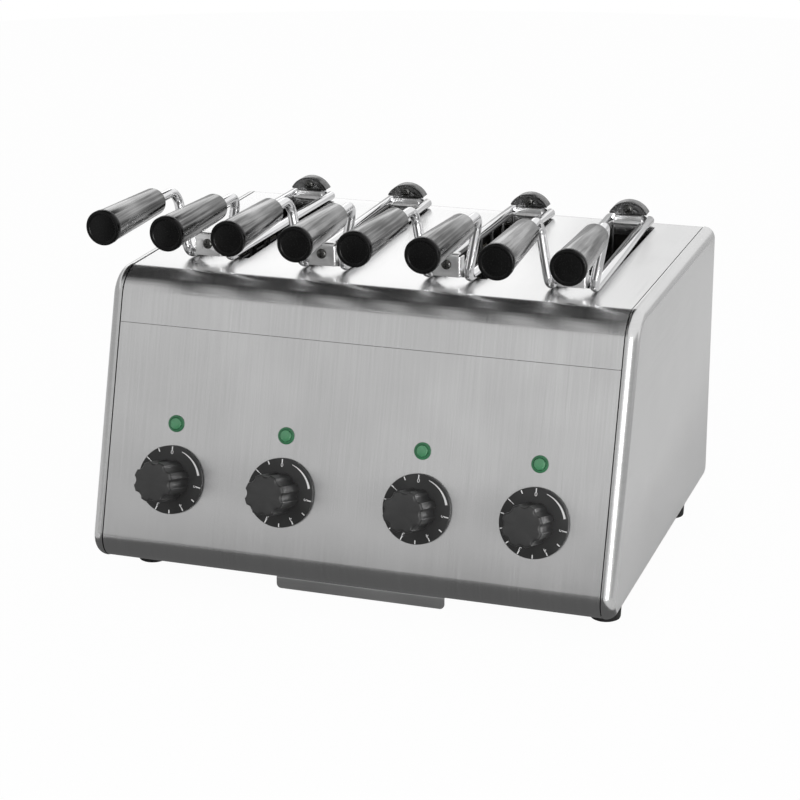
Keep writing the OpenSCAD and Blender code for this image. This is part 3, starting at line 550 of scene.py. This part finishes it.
# Steatite: a cream ceramic, fired without a glaze
ceramic = moulded("steatite_ceramic", "#DDD6C6", "#E8E2D4", 0.5, 0.65, 0.5, 0.1)
# Milky quartz: a smooth off-white tube
quartz = moulded("milky_quartz", "#D9D8D2", "#E6E5E0", 0.15, 0.25, 2.0, 0.03)
# Dial print: matt white ink
mark_white = moulded("dial_print_white", "#C4C4C4", "#D4D4D4", 0.5, 0.6, 0.4, 0.05)
# Green acrylic lens: shiny, and unlit
lens_green = moulded("green_lens_acrylic", "#3C7450", "#447F5A", 0.14, 0.22, 1.5, 0.05,
                     Coat_Weight=0.4)
# Green acrylic bezel: thicker than the lens, so darker
bezel_green = moulded("green_bezel_acrylic", "#1F5636", "#2A6A45", 0.25, 0.35, 0.8, 0.05)


# Side outline of the body: centre, radius, first and last angle of each bend
def front_y(z):
    return (z - BASE_H) * TAN


def bend_centre(z, radius):
    return front_y(z) + radius / COS


BENDS = (
    (BODY_D - BACK_BEND, BASE_H + BACK_BEND, BACK_BEND, -90, 0),
    (BODY_D - BACK_BEND, TOP_H - BACK_BEND, BACK_BEND, 0, 90),
    (bend_centre(TOP_H - TOP_BEND, TOP_BEND), TOP_H - TOP_BEND, TOP_BEND, 90, 180 - LEAN),
    (bend_centre(BASE_H + LOW_BEND, LOW_BEND), BASE_H + LOW_BEND, LOW_BEND, 180 - LEAN, 270),
)


def seam_point(down):
    return front_y(SEAM_H) - down * SIN, SEAM_H - down * COS


def along_x(y, z, x):
    """A point of the body's side outline, at x."""
    return x, y + ORIGIN_Y, z


def on_front(x, h):
    return shift(x, front_y(h) + ORIGIN_Y, h) @ turn(90 - LEAN, "X")


def at_rear(x, z):
    return shift(x, BODY_D + ORIGIN_Y, z) @ turn(-90, "X")


# Case
def make_top_cover():
    top, back = BENDS[2], BENDS[1]
    ends = SLOT_MID - SLOT_L / 2, SLOT_MID + SLOT_L / 2
    path = [seam_point(0)] + arc(*top[:3], 180 - LEAN, 90, 28)
    path += [(y, TOP_H) for y in ends] + arc(*back[:3], 90, 0, 14) + [(BODY_D, BACK_SEAM_H)]
    slot_sides = [x + s * SLOT_W / 2 for x in SLOT_X for s in (-1, 1)]
    across = sorted([-SHEET_HALF, SHEET_HALF] + slot_sides)
    points = [Vector(along_x(y, z, x)) for y, z in path for x in across]
    first_slot = path.index((ends[0], TOP_H))
    wide = len(across)
    faces = []
    for j in range(len(path) - 1):
        for k in range(wide - 1):
            if j == first_slot and k % 2 == 1:
                continue
            a = j * wide + k
            faces.append([a, a + 1, a + wide + 1, a + wide])
    for k in range(1, wide - 1, 2):
        a = first_slot * wide + k
        edge = [a, a + 1, a + wide + 1, a + wide]
        start = len(points)
        points += [points[i] - Vector((0, 0, SLOT_COLLAR)) for i in edge]
        for m in range(4):
            faces.append([edge[m], start + m, start + (m + 1) % 4, edge[(m + 1) % 4]])
    mesh = to_mesh("top_cover_sheet", (points, faces))
    if max(mesh.polygons, key=lambda face: face.center.z).normal.z < 0:
        mesh.flip_normals()
    made = to_object("top_cover_sheet", mesh)
    add_bevel(made, SLOT_EDGE, 4)
    wall = made.modifiers.new("wall", "SOLIDIFY")
    wall.thickness, wall.offset, wall.use_even_offset = SHEET * MM, -1, True
    piece("top_cover_sheet", "body", to_shape(made), front_steel, ["top_cover"],
          outward=False)


def make_front_panel():
    low = BENDS[3]
    path = [(low[0] + FRONT_FLANGE, BASE_H)] + arc(*low[:3], 270, 180 - LEAN, 28)
    shape = strip(path + [seam_point(SEAM_GAP)], -SHEET, -SHEET_HALF, SHEET_HALF, along_x)
    holes = []
    for x in KNOB_X:
        for radius, h in ((SHAFT_HOLE_R, KNOB_H), (LAMP_HOLE_R, LAMP_H)):
            holes.append(moved(lathe([(radius, -5), (radius, 5)], 32), on_front(x, h)))
    shape = cut(shape, joined(*holes))
    piece("front_panel_sheet", "body", shape, front_steel, ["front_panel"])


def cap_ring(out, x):
    """The body's side outline at x, moved outward by out."""
    ring = []
    for cy, cz, radius, first, last in BENDS:
        bend = arc(cy, cz, max(radius + out, AXIS_R), first, last, 20)
        ring += [along_x(y, z, x) for y, z in bend]
    return ring


def make_end_caps():
    edge_x, edge_out = BODY_W / 2 - CAP_EDGE, CAP_PROUD - CAP_EDGE
    inner, rim_x = CAP_EDGE - CAP_WALL, BODY_W / 2 - CAP_RIM
    angles = [math.pi / 2 * k / 12 for k in range(13)]
    profile = [(edge_x + CAP_EDGE * math.cos(a), edge_out + CAP_EDGE * math.sin(a))
               for a in angles]
    profile += [(rim_x, CAP_PROUD - 0.2), (rim_x, CAP_PROUD - CAP_WALL)]
    profile += [(edge_x + inner * math.sin(a), edge_out + inner * math.cos(a)) for a in angles]
    cap = skin([cap_ring(out, x) for x, out in profile])
    piece("right_end_cap_shell", "body", cap, cap_steel, ["right_end_cap"])
    piece("left_end_cap_shell", "body", mirrored(cap), cap_steel, ["left_end_cap"])


def make_feet():
    foot = lathe([(AXIS_R, 0.6), (7.5, 0.6), (8, 0), (9.8, 0), (10.7, 0.5), (11.05, 1.5),
                  (11.9, 19), (11.6, 19.8), (11, 20.1), (8, 20.1), (8, 22.2), (AXIS_R, 22.2)])
    feet = [moved(foot, shift(x, y + ORIGIN_Y, 0))
            for x in (-FOOT_X, FOOT_X) for y in (FOOT_FRONT, BODY_D - FOOT_BACK)]
    piece("rubber_feet_moulded", "body", joined(*feet), foot_rubber, ["rubber_feet"])


def make_tray():
    half, front, length, low, top, t, lip = 148.2, 49, 259, 10.75, 18.75, 1, 4
    tab_half, tab_y, tab_low, corner = 64.8, front - 9, 2.25, 3.5
    pan = bent([(-half - lip, top - t), (-half, top - t), (-half, low), (half, low),
                (half, top - t), (half + lip, top - t)], (1.3, 2, 2, 1.3), 5)
    walls = strip(pan, t, front + ORIGIN_Y, front + length + ORIGIN_Y, from_front)
    ends = [box((-half + 1.5, y + ORIGIN_Y, low + 0.02), (half - 1.5, y + t + ORIGIN_Y, top - 0.5))
            for y in (front, front + length - t)]
    fold = bent([(front + 2, low + t), (tab_y, low + t), (tab_y, tab_low + corner)], (1.6,))
    tab = strip(fold, t, -tab_half, tab_half, along_x)
    edge = arc(-tab_half + corner, tab_low + corner, corner, 180, 270, 6)
    edge += arc(tab_half - corner, tab_low + corner, corner, 270, 360, 6)
    tongue = plate(edge, tab_y + ORIGIN_Y, t)
    piece("crumb_tray_sheet", "crumb_tray", joined(walls, *ends, tab, tongue), tray_steel,
          ["crumb_tray"])


def cross_head(diameter, height):
    """A pan head with a cross recess, standing on Z."""
    r = diameter / 2
    shares = ((0.97, 0), (1, 0.12), (0.98, 0.4), (0.86, 0.72), (0.6, 0.93), (0.3, 1))
    profile = [(r * across, height * up) for across, up in shares]
    head = lathe([(AXIS_R, 0)] + profile + [(AXIS_R, height)], 40)
    arm, wide, deep = r * 0.6, r * 0.16, height * 0.3
    for a, b in ((arm, wide), (wide, arm)):
        head = cut(head, box((-a, -b, deep), (a, b, height + 1)))
    return head


def make_rear_screws():
    screw = joined(cross_head(7.6, 2.4), lathe([(2, -5.2), (2, 0.2)], 24))
    side = SHEET_HALF - SCREW_INSET
    low, high = BASE_H + SCREW_INSET, BACK_SEAM_H - SCREW_INSET
    column = repeated(moved(screw, at_rear(0, low)), 3, bolt_steel, (0, 0, (high - low) / 2))
    rows = joined(*[moved(column, shift(x, 0, 0)) for x in (-side, side)])
    piece("rear_case_screws", "body", rows, bolt_steel, ["case_screws"])


def hexagon_ring():
    """The gland's hexagon with its round bore."""
    n, reach, chamfer, height = 48, 12.5, 0.6, 6
    rings = []
    for r, h in ((reach, chamfer), (reach, height - chamfer), (reach - chamfer, height),
                 (CABLE_R, height), (CABLE_R, 0), (reach - chamfer, 0)):
        ring = []
        for k in range(n):
            a = 2 * math.pi * k / n
            flat = math.cos(math.pi / 6) / math.cos((a % (math.pi / 3)) - math.pi / 6)
            far = r if r == CABLE_R else r * flat
            ring.append((far * math.cos(a), far * math.sin(a), h))
        rings.append(ring)
    return skin(rings, loop=True)


def make_cable_gland():
    cap = lathe([(CABLE_R, 5.9), (10, 5.9), (10, 15), (9.6, 16.6), (8.2, 17.8), (5.4, 18),
                 (4.9, 17.8), (CABLE_R, 17.2)], 40, loop=True)
    ribs = repeated(box((9.4, -0.45, 6), (9.97, 0.45, 14.5)), 24, gland_nylon, angle=15)
    nut = lathe([(CABLE_R, -4.7), (12.3, -4.7), (12.3, -1.2), (CABLE_R, -1.2)], 6, loop=True)
    neck = lathe([(CABLE_R, -1.2), (8, -1.2), (8, 0.1), (CABLE_R, 0.1)], 40, loop=True)
    gland = moved(joined(hexagon_ring(), cap, ribs, nut, neck), at_rear(GLAND_X, GLAND_H))
    piece("cable_gland_moulded", "body", gland, gland_nylon, ["cable_gland"])


# Timers and lamps
def grip_radius(angle):
    """Reach of the fluted grip at an angle, softened where a flute meets the round."""
    step, soft = 2 * math.pi / LOBES, 8.0
    off = (angle + step / 2) % step - step / 2
    centre = GRIP_R + FLUTE_R - FLUTE
    side = centre * math.sin(off)
    reach = GRIP_R
    if abs(side) < FLUTE_R:
        reach = centre * math.cos(off) - math.sqrt(FLUTE_R ** 2 - side ** 2)
    return -math.log(math.exp(-soft * (reach - GRIP_R)) + 1) / soft + GRIP_R


def knob_grip():
    n, edge_h = 240, GRIP_FACE - GRIP_ROUND
    angles = [2 * math.pi * k / n for k in range(n)]
    levels = [(0, GRIP_BACK), (0, edge_h)]
    for a in [math.pi / 2 * k / 6 for k in range(1, 7)]:
        levels.append((GRIP_ROUND * (1 - math.cos(a)), edge_h + GRIP_ROUND * math.sin(a)))
    rings = []
    for inset, h in levels:
        reach = [grip_radius(a) - inset for a in angles]
        rings.append([(r * math.cos(a), r * math.sin(a), h) for r, a in zip(reach, angles)])
    rings.append([(AXIS_R * math.cos(a), AXIS_R * math.sin(a), GRIP_FACE) for a in angles])
    return skin(rings)


def figure(text):
    """A plain figure, flat on X and Y with its middle at the origin."""
    size_for_height = 1.4
    curve = bpy.data.curves.new("figure", "FONT")
    curve.body, curve.size = text, FIGURE_H * MM * size_for_height
    curve.align_x, curve.align_y = "CENTER", "CENTER"
    curve.extrude = 0.03 * MM
    shape = to_shape(to_object("figure", curve))
    low = [min(p[k] for p in shape[0]) for k in range(2)]
    high = [max(p[k] for p in shape[0]) for k in range(2)]
    return moved(shape, shift(-(low[0] + high[0]) / 2, -(low[1] + high[1]) / 2, 0))


def dial_marks():
    """Half-minute strokes, figures from none to five, and a band that grows as the time does."""
    stroke = box((-0.38, 21.9, MARK_BACK), (0.38, 24.5, MARK_FACE))
    strokes = repeated(stroke, 11, mark_white, angle=-MARK_STEP)
    marks = [moved(strokes, turn(-MARK_FIRST, "Z"))]
    for value in range(6):
        angle = MARK_FIRST + (5 - value) * 2 * MARK_STEP
        place = turn(-angle, "Z") @ shift(0, FIGURE_R, FIGURE_FACE)
        marks.append(moved(figure(str(value)), place))
    band_first, band_sweep, band_thin, band_growth, steps = 20, 56, 0.35, 1.3, 14
    band = []
    for k in range(steps + 1):
        a = math.radians(90 - band_first - band_sweep * k / steps)
        half = (band_thin + band_growth * k / steps) / 2
        section = ((MARK_R - half, MARK_BACK), (MARK_R + half, MARK_BACK),
                   (MARK_R + half, MARK_FACE), (MARK_R - half, MARK_FACE))
        band.append([(r * math.cos(a), r * math.sin(a), z) for r, z in section])
    return joined(*marks, skin(band))


def make_timers():
    dial = lathe([(HUB_R, DIAL_BACK), (DIAL_R - 0.7, DIAL_BACK), (DIAL_R, DIAL_BACK + 0.7),
                  (DIAL_R, DIAL_FACE - 0.7), (DIAL_R - 0.25, DIAL_FACE - 0.2),
                  (DIAL_R - 0.7, DIAL_FACE), (HUB_R, DIAL_FACE)], 96, loop=True)
    grip = knob_grip()
    marks = dial_marks()
    for n, x in enumerate(KNOB_X, 1):
        place = on_front(x, KNOB_H)
        body = f"timer_{n}"
        piece(f"timer_{n}_grip", body, moved(grip, place), knob_black, [f"timer_knob_{n}"],
              sharp=40)
        piece(f"timer_{n}_dial", body, moved(dial, place), dial_black)
        piece(f"timer_{n}_marks", body, moved(marks, place), mark_white)
        dress(f"timer_shaft_{n}", bolt_steel)


def make_lamps():
    bezel = lathe([(4.4, -0.1), (6.15, 0), (6.2, 0.6), (5.95, 1.05), (5.4, 1.2), (4.6, 1.15),
                   (4.4, 0.7)], 48, loop=True)
    lens = lathe([(4.8, -21), (4.8, -0.1), (4.35, 0), (4.3, 1.5), (4, 2.1), (3.2, 2.45),
                  (1.6, 2.58), (AXIS_R, 2.6)], 48)
    places = [on_front(x, LAMP_H) for x in KNOB_X]
    lenses, bezels = (joined(*[moved(shape, p) for p in places]) for shape in (lens, bezel))
    piece("pilot_lamp_lenses", "body", lenses, lens_green, ["pilot_lamps"])
    piece("pilot_lamp_bezels", "body", bezels, bezel_green)


# Tongs, each drawn for the right side at the middle of its slot
ARM_RISE = math.hypot(HANDLE_X - ROD_X, HANDLE_H - ROD_H)
ARM_TILT = math.degrees(math.atan2(HANDLE_X - ROD_X, HANDLE_H - ROD_H))
SPRING_START = -ARM_Y + BRACKET_T / 2 + 2 * SPRING_WIRE
FRONT_LUG = SPRING_START + SPRING_TURNS * SPRING_PITCH + 2 * SPRING_WIRE
REAR_LUG = REAR_Y + BRACKET_T + LUG_GAP
LUG_STEP = LUG_T + LUG_GAP


def arm_rod():
    end = HANDLE_FRONT + PLUG_RIM + ROD_IN_PLUG
    path = rounded_path([(0, ROD_BACK, 0), (0, -ARM_Y, 0), (0, -ARM_Y, ARM_RISE),
                         (0, end, ARM_RISE)], (9, 12), 12)
    return moved(tube(path, ROD_R, 24, 1.2), shift(ROD_X, 0, ROD_H) @ turn(ARM_TILT, "Y"))


def cage():
    toe, bend, sides, nose = 1.5, 3.5, 10, 0.4
    path = rounded_path([(CAGE_X, 0, ROD_H), (CAGE_X, 0, -CAGE_DEPTH), (toe, 0, -CAGE_DEPTH)],
                        (bend,), 6)
    step = CAGE_L / (CAGE_UPRIGHTS - 1)
    upright = moved(tube(path, WIRE_R, sides, nose), shift(0, -CAGE_L / 2, 0))
    uprights = repeated(upright, CAGE_UPRIGHTS, cage_wire, (0, step, 0))
    rise = CAGE_DEPTH / CAGE_LEVELS
    x, reach = CAGE_X + 1.5 * WIRE_R, CAGE_L / 2 + 2 * WIRE_R
    level = tube([(x, -reach, -rise / 2), (x, reach, -rise / 2)], WIRE_R, sides, nose)
    levels = repeated(level, CAGE_LEVELS, cage_wire, (0, 0, -rise))
    x, reach = CAGE_X + 0.75 * WIRE_R, CAGE_L / 2 + WIRE_R / 2
    rail = tube([(x, -reach, ROD_H), (x, reach, ROD_H)], WIRE_R, sides, nose)
    return joined(uprights, levels, rail)


def lug(y):
    """A flat eye on the bolt with a bar down to the rod."""
    reach = math.hypot(ROD_X, ROD_H - PIVOT_H)
    slope = math.atan2(ROD_H - PIVOT_H, ROD_X)
    eye, half, hole_r = 4.5, 2.0, BOLT_R + 0.05
    start = math.degrees(math.asin(half / eye))
    local = arc(0, 0, eye, start, 360 - start, 28) + [(reach, -half), (reach, half)]
    turned = [(x * math.cos(slope) - z * math.sin(slope),
               x * math.sin(slope) + z * math.cos(slope) + PIVOT_H) for x, z in local]
    hole = lathe([(hole_r, y - 2), (hole_r, y + LUG_T + 2)], 24)
    return cut(plate(turned, y, LUG_T), moved(hole, shift(0, 0, PIVOT_H) @ turn(-90, "X")))


def on_handle(profile, loop=False):
    """A turned piece on the handle's axis, its profile in radius and place along Y."""
    shape = lathe([(r, -y) for r, y in profile], 64, loop)
    return moved(shape, shift(HANDLE_X, 0, HANDLE_H) @ turn(90, "X"))


def grip_tube():
    f, b, hole_r = HANDLE_FRONT + PLUG_RIM, HANDLE_BACK, ROD_R + 0.06
    return on_handle([
        (10.6, f), (11.7, f), (11.98, f + 0.4), (9.93, b - 1.6), (9.7, b - 0.8), (9.1, b - 0.2),
        (8.4, b), (4.6, b), (hole_r, b - 0.3), (hole_r, b - 1.5), (8.4, b - 1.5), (10.2, f + 13),
    ], loop=True)


def end_plug():
    f, rim, hole_r = HANDLE_FRONT, HANDLE_FRONT + PLUG_RIM, ROD_R + 0.06
    stem, hole = f + 17, rim + ROD_IN_PLUG - 0.3
    return on_handle([
        (AXIS_R, f + 0.55), (8.6, f + 0.7), (9.5, f + 0.85), (9.9, f + 0.6), (10.3, f + 0.15),
        (10.9, f), (11.6, f + 0.12), (12.2, f + 0.5), (12.5, f + 1.2), (12.5, rim - 0.5),
        (12.3, rim - 0.1), (11.9, rim), (10.4, rim), (10.4, stem - 0.5), (9.9, stem),
        (hole_r, stem), (hole_r, hole), (AXIS_R, hole),
    ])


def bracket_bore(y):
    bore = lathe([(BOLT_BORE_R, -4), (BOLT_BORE_R, 4)], 24)
    return moved(bore, shift(0, y, PIVOT_H) @ turn(90, "X"))


def front_bracket():
    half, low, high, bend = 11, 4.5, 21.5, 2.2
    y = -ARM_Y - BRACKET_T / 2
    sides = bent([(-half, y + 8.2), (-half, y), (half, y), (half, y + 8.2)], (bend, bend))
    channel = strip(sides, BRACKET_T, low, high - bend, from_above)
    fold = bent([(y, high - bend), (y, high), (y + 6.2, high)], (2.1,))
    top = strip(fold, -BRACKET_T, -half + 2, half - 2, from_side)
    return joined(cut(channel, bracket_bore(-ARM_Y)), top)


def half_moon_bracket():
    """The dark half-moon with its rim, and the bright neck and foot that carry it."""
    r, centre_h, rim_h, side_h, face_h = 17, 2.5, 10.5, 9.9, 8.4
    neck, foot_h, y = 10.5, 2.6, REAR_Y
    rim_first, first = (math.degrees(math.asin((h - centre_h) / r)) for h in (rim_h, side_h))
    bow = arc(0, centre_h, r - 0.6, first, 180 - first, 28)
    side = bow[0][1]
    face = [(-neck, face_h), (neck, face_h), (neck, side)] + bow + [(-neck, side)]
    panel = cut(plate(face, y, BRACKET_T), bracket_bore(y))
    round_rim = arc(0, centre_h, r, rim_first, 180 - rim_first, 36)
    edge = strip(round_rim, BRACKET_T, y, y + 10, from_front)
    fold = bent([(y - 6, foot_h), (y, foot_h), (y, face_h + 0.1)], (1.6,))
    carrier = strip(fold, BRACKET_T, -neck, neck, from_side)
    return joined(panel, edge), carrier


def hinge_bolt(bolt_head, face, lug_y):
    end = lug_y + 2 * LUG_STEP
    head = moved(bolt_head, shift(0, face, 0) @ turn(90, "X"))
    stem = lathe([(BOLT_R, face - 0.2), (BOLT_R, end)], 24)
    collar = lathe([(3.4, end), (3.7, end + 0.3), (3.7, end + 1.5), (3.4, end + 1.8)], 32)
    stem, collar = (moved(shape, turn(-90, "X")) for shape in (stem, collar))
    return moved(joined(head, stem, collar), shift(0, 0, PIVOT_H))


def hinge_spring():
    height = SPRING_TURNS * SPRING_PITCH
    seed = ([Vector((0, 0, 0))], [])
    coil = grown(seed, coil_tree, coil_ids, {
        "Turns": SPRING_TURNS, "Radius": SPRING_R * MM, "Height": height * MM,
        "Wire": SPRING_WIRE * MM, "Finish": spring_steel})
    legs = [tube([(x, y, 0), (x, y, -5)], SPRING_WIRE, 10, 0.2)
            for x, y in ((SPRING_R, 0), (-SPRING_R, height))]
    turned = moved(coil, turn(-90, "X"))
    return moved(joined(turned, *legs), shift(0, SPRING_START, PIVOT_H))


def make_tongs():
    rod, wires, grip, plug = arm_rod(), cage(), grip_tube(), end_plug()
    arms = {
        "left": mirrored(joined(rod, lug(FRONT_LUG), lug(REAR_LUG))),
        "right": joined(rod, lug(FRONT_LUG + LUG_STEP), lug(REAR_LUG + LUG_STEP)),
    }
    others = {"left": [mirrored(shape) for shape in (grip, wires, plug)],
              "right": [grip, wires, plug]}
    half_moon, carrier = half_moon_bracket()
    front = joined(front_bracket(), carrier)
    head = cross_head(7.4, 1.8)
    bolts = joined(hinge_bolt(head, -ARM_Y - BRACKET_T / 2, FRONT_LUG),
                   hinge_bolt(head, REAR_Y, REAR_LUG))
    spring = hinge_spring()
    for n, (slot_x, off, yaw) in enumerate(zip(SLOT_X, TONG_SHIFT, TONG_YAW), 1):
        place = shift(slot_x + off, SLOT_MID + ORIGIN_Y, TOP_H) @ turn(yaw, "Z")
        tong = f"tong_{n}"
        piece(f"{tong}_front_bracket", tong, moved(front, place), bracket_steel,
              [f"{tong}_brackets"], bevel=0.15)
        piece(f"{tong}_half_moon", tong, moved(half_moon, place), half_moon_steel,
              bevel=0.15)
        piece(f"{tong}_bolt_pair", tong, moved(bolts, place), bolt_steel, [f"{tong}_bolts"])
        piece(f"{tong}_coil_spring", tong, moved(spring, place), spring_steel,
              [f"{tong}_spring"])
        for side, arm in arms.items():
            body = f"{tong}_{side}"
            side_grip, side_wires, side_plug = others[side]
            piece(f"{body}_rod", body, moved(arm, place), chrome, [f"{body}_arm"])
            piece(f"{body}_grip_tube", body, moved(side_grip, place), grip_painted_reflections)
            piece(f"{body}_wire_cage", body, moved(side_wires, place), cage_wire,
                  [f"{body}_cage"])
            piece(f"{body}_end_plug", body, moved(side_plug, place), plug_black,
                  [f"{body}_plug"])


make_top_cover()
make_front_panel()
make_end_caps()
make_feet()
make_tray()
make_rear_screws()
make_cable_gland()
make_timers()
make_lamps()
make_tongs()
for node, material in (
        ("rear_panel", front_steel), ("base_plate", inner_steel),
        ("chamber_panels", chamber_steel), ("timer_bodies", timer_shell),
        ("heater_tubes", quartz), ("ceramic_ends", ceramic), ("terminal_block", ceramic)):
    dress(node, material)


# Studio: a white sweep, a pale floor, cards that the metal mirrors, and two soft lamps
AMBIENT, FLOOR_GLOW, FLOOR_R = 0.55, 0.97, 2500
WHITE = (1, 1, 1, 1)


def make_world():
    """White to the eye and in mirrors, and a softer white as light."""
    world = bpy.data.worlds.new("white_studio")
    bpy.context.scene.world = world
    world.use_nodes = True
    tree = world.node_tree
    tree.nodes.clear()
    rays = add_node(tree, "ShaderNodeLightPath").outputs
    seen = rays["Is Camera Ray"]
    for kind in ("Is Glossy Ray", "Is Transmission Ray"):
        seen = add_node(tree, "ShaderNodeMath", {0: seen, 1: rays[kind]},
                        operation="MAXIMUM").outputs[0]
    soft = add_node(tree, "ShaderNodeBackground", {"Color": WHITE, "Strength": AMBIENT})
    white = add_node(tree, "ShaderNodeBackground", {"Color": WHITE, "Strength": 1.0})
    mixed = add_node(tree, "ShaderNodeMixShader",
                     {0: seen, 1: soft.outputs[0], 2: white.outputs[0]})
    add_node(tree, "ShaderNodeOutputWorld", {"Surface": mixed.outputs[0]})


def make_floor():
    """A painted floor that the eye sees as almost even white."""
    material = bpy.data.materials.new("pale_floor")
    material.use_nodes = True
    tree = material.node_tree
    tree.nodes.clear()
    rays = add_node(tree, "ShaderNodeLightPath").outputs
    paint = add_node(tree, "ShaderNodeBsdfDiffuse", {"Color": linear("#F4F4F4")})
    white = add_node(tree, "ShaderNodeEmission", {"Color": WHITE, "Strength": 1.0})
    share = add_node(tree, "ShaderNodeMath", {0: rays["Is Camera Ray"], 1: FLOOR_GLOW},
                     operation="MULTIPLY")
    mixed = add_node(tree, "ShaderNodeMixShader",
                     {0: share.outputs[0], 1: paint.outputs[0], 2: white.outputs[0]})
    add_node(tree, "ShaderNodeOutputMaterial", {"Surface": mixed.outputs[0]})
    disc = lathe([(AXIS_R, -0.4), (FLOOR_R, -0.4), (FLOOR_R, -0.3), (AXIS_R, -0.3)], 64)
    floor = to_object("floor", to_mesh("floor", disc))
    floor.data.materials.append(material)


def make_card(name, corners, grey):
    """A matt card that only reflections see."""
    material = bpy.data.materials.new(name)
    material.use_nodes = True
    tree = material.node_tree
    tree.nodes.clear()
    glow = add_node(tree, "ShaderNodeEmission", {"Color": (grey, grey, grey, 1), "Strength": 1.0})
    add_node(tree, "ShaderNodeOutputMaterial", {"Surface": glow.outputs[0]})
    shape = [Vector(c) for c in corners], [list(range(len(corners)))]
    card = to_object(name, to_mesh(name, shape, outward=False))
    card.data.materials.append(material)
    card.visible_camera = card.visible_diffuse = False
    card.visible_transmission = card.visible_shadow = False


def make_level_card(name, x, y, z, grey):
    make_card(name, [(x[0], y[0], z), (x[1], y[0], z), (x[1], y[1], z), (x[0], y[1], z)], grey)


def make_wall_card(name, x, y, z, grey):
    """An upright card from one point on the floor plan to another."""
    make_card(name, [(x[0], y[0], z[0]), (x[1], y[1], z[0]), (x[1], y[1], z[1]),
                     (x[0], y[0], z[1])], grey)


def make_lamp(name, place, aim, size, power, in_mirrors):
    """A soft lamp; one that isn't in mirrors lights matt surfaces alone."""
    data = bpy.data.lights.new(name, "AREA")
    data.shape, data.size, data.size_y, data.energy = "RECTANGLE", size[0], size[1], power
    lamp = to_object(name, data)
    lamp.location = place
    lamp.visible_glossy = in_mirrors
    lamp.rotation_euler = (Vector(aim) - Vector(place)).to_track_quat("-Z", "Y").to_euler()


def make_cards():
    """The ceiling, the walls from the back to the sides, and the floor, in millimetres."""
    ceiling_x, ceiling_z, floor_z = (-1700, 200), 1500, 1
    far_y, near_y, wide, side = 2400, -2300, 3000, 2500
    for name, y, grey in (
            ("ceiling_card", (-280, far_y), 0.03), ("mid_ceiling", (-560, -280), 0.24),
            ("front_ceiling", (-900, -560), 0.52), ("outer_ceiling", (-1900, -900), 0.68)):
        make_level_card(name, ceiling_x, y, ceiling_z, grey)
    back, front = (far_y, far_y), (near_y, near_y)
    make_wall_card("back_card", (-wide, -480), back, (450, ceiling_z), 1.4)
    make_wall_card("back_right_card", (-480, wide), back, (450, ceiling_z), 1.0)
    make_wall_card("back_foot_card", (-wide, wide), (far_y - 10, far_y - 10), (0, 450), 0.6)
    make_wall_card("front_card", (-wide, 600), front, (560, 2600), 0.66)
    make_wall_card("front_low_card", (-wide, 600), front, (-600, 560), 0.58)
    make_card("front_foot_card", [(-1200, -2250, -600), (230, -2250, -600), (230, -2250, 290),
                                  (-1050, -2250, 310), (-1200, -2250, 0)], 0.14)
    make_card("bright_card", [(1350, -2093, 330), (2100, -1706, 330), (2500, -1500, 950),
                              (950, -2300, 950)], 1.5)
    make_wall_card("right_card", (side, side), (-1300, 700), (0, 800), 0.5)
    make_level_card("right_floor_card", (450, side), (-500, 400), floor_z, 0.5)
    make_level_card("side_floor_card", (250, 450), (-150, 1000), floor_z, 0.68)
    make_wall_card("left_card", (-side, -side), (near_y, far_y), (0, ceiling_z), 0.5)
    # Dark card on the floor before the base, seen only in mirrors: painted shade for the floor in
    # the body's shadow
    make_card("floor_card", [(-290, -100, floor_z), (-290, -330, floor_z), (-1080, -2250, floor_z),
                             (230, -2250, floor_z), (230, -100, floor_z)], 0.13)


make_world()
make_floor()
make_cards()
make_lamp("key_softbox", (-0.7, -2.2, 1.2), (0, 0, 0.15), (1.4, 1.4), 16, in_mirrors=False)
make_lamp("side_strip", (1.3, -1.5, 0.5), (0.1, -0.1, 0.15), (0.3, 1.0), 16, in_mirrors=True)

scene = bpy.context.scene
scene.view_settings.view_transform = "Standard"
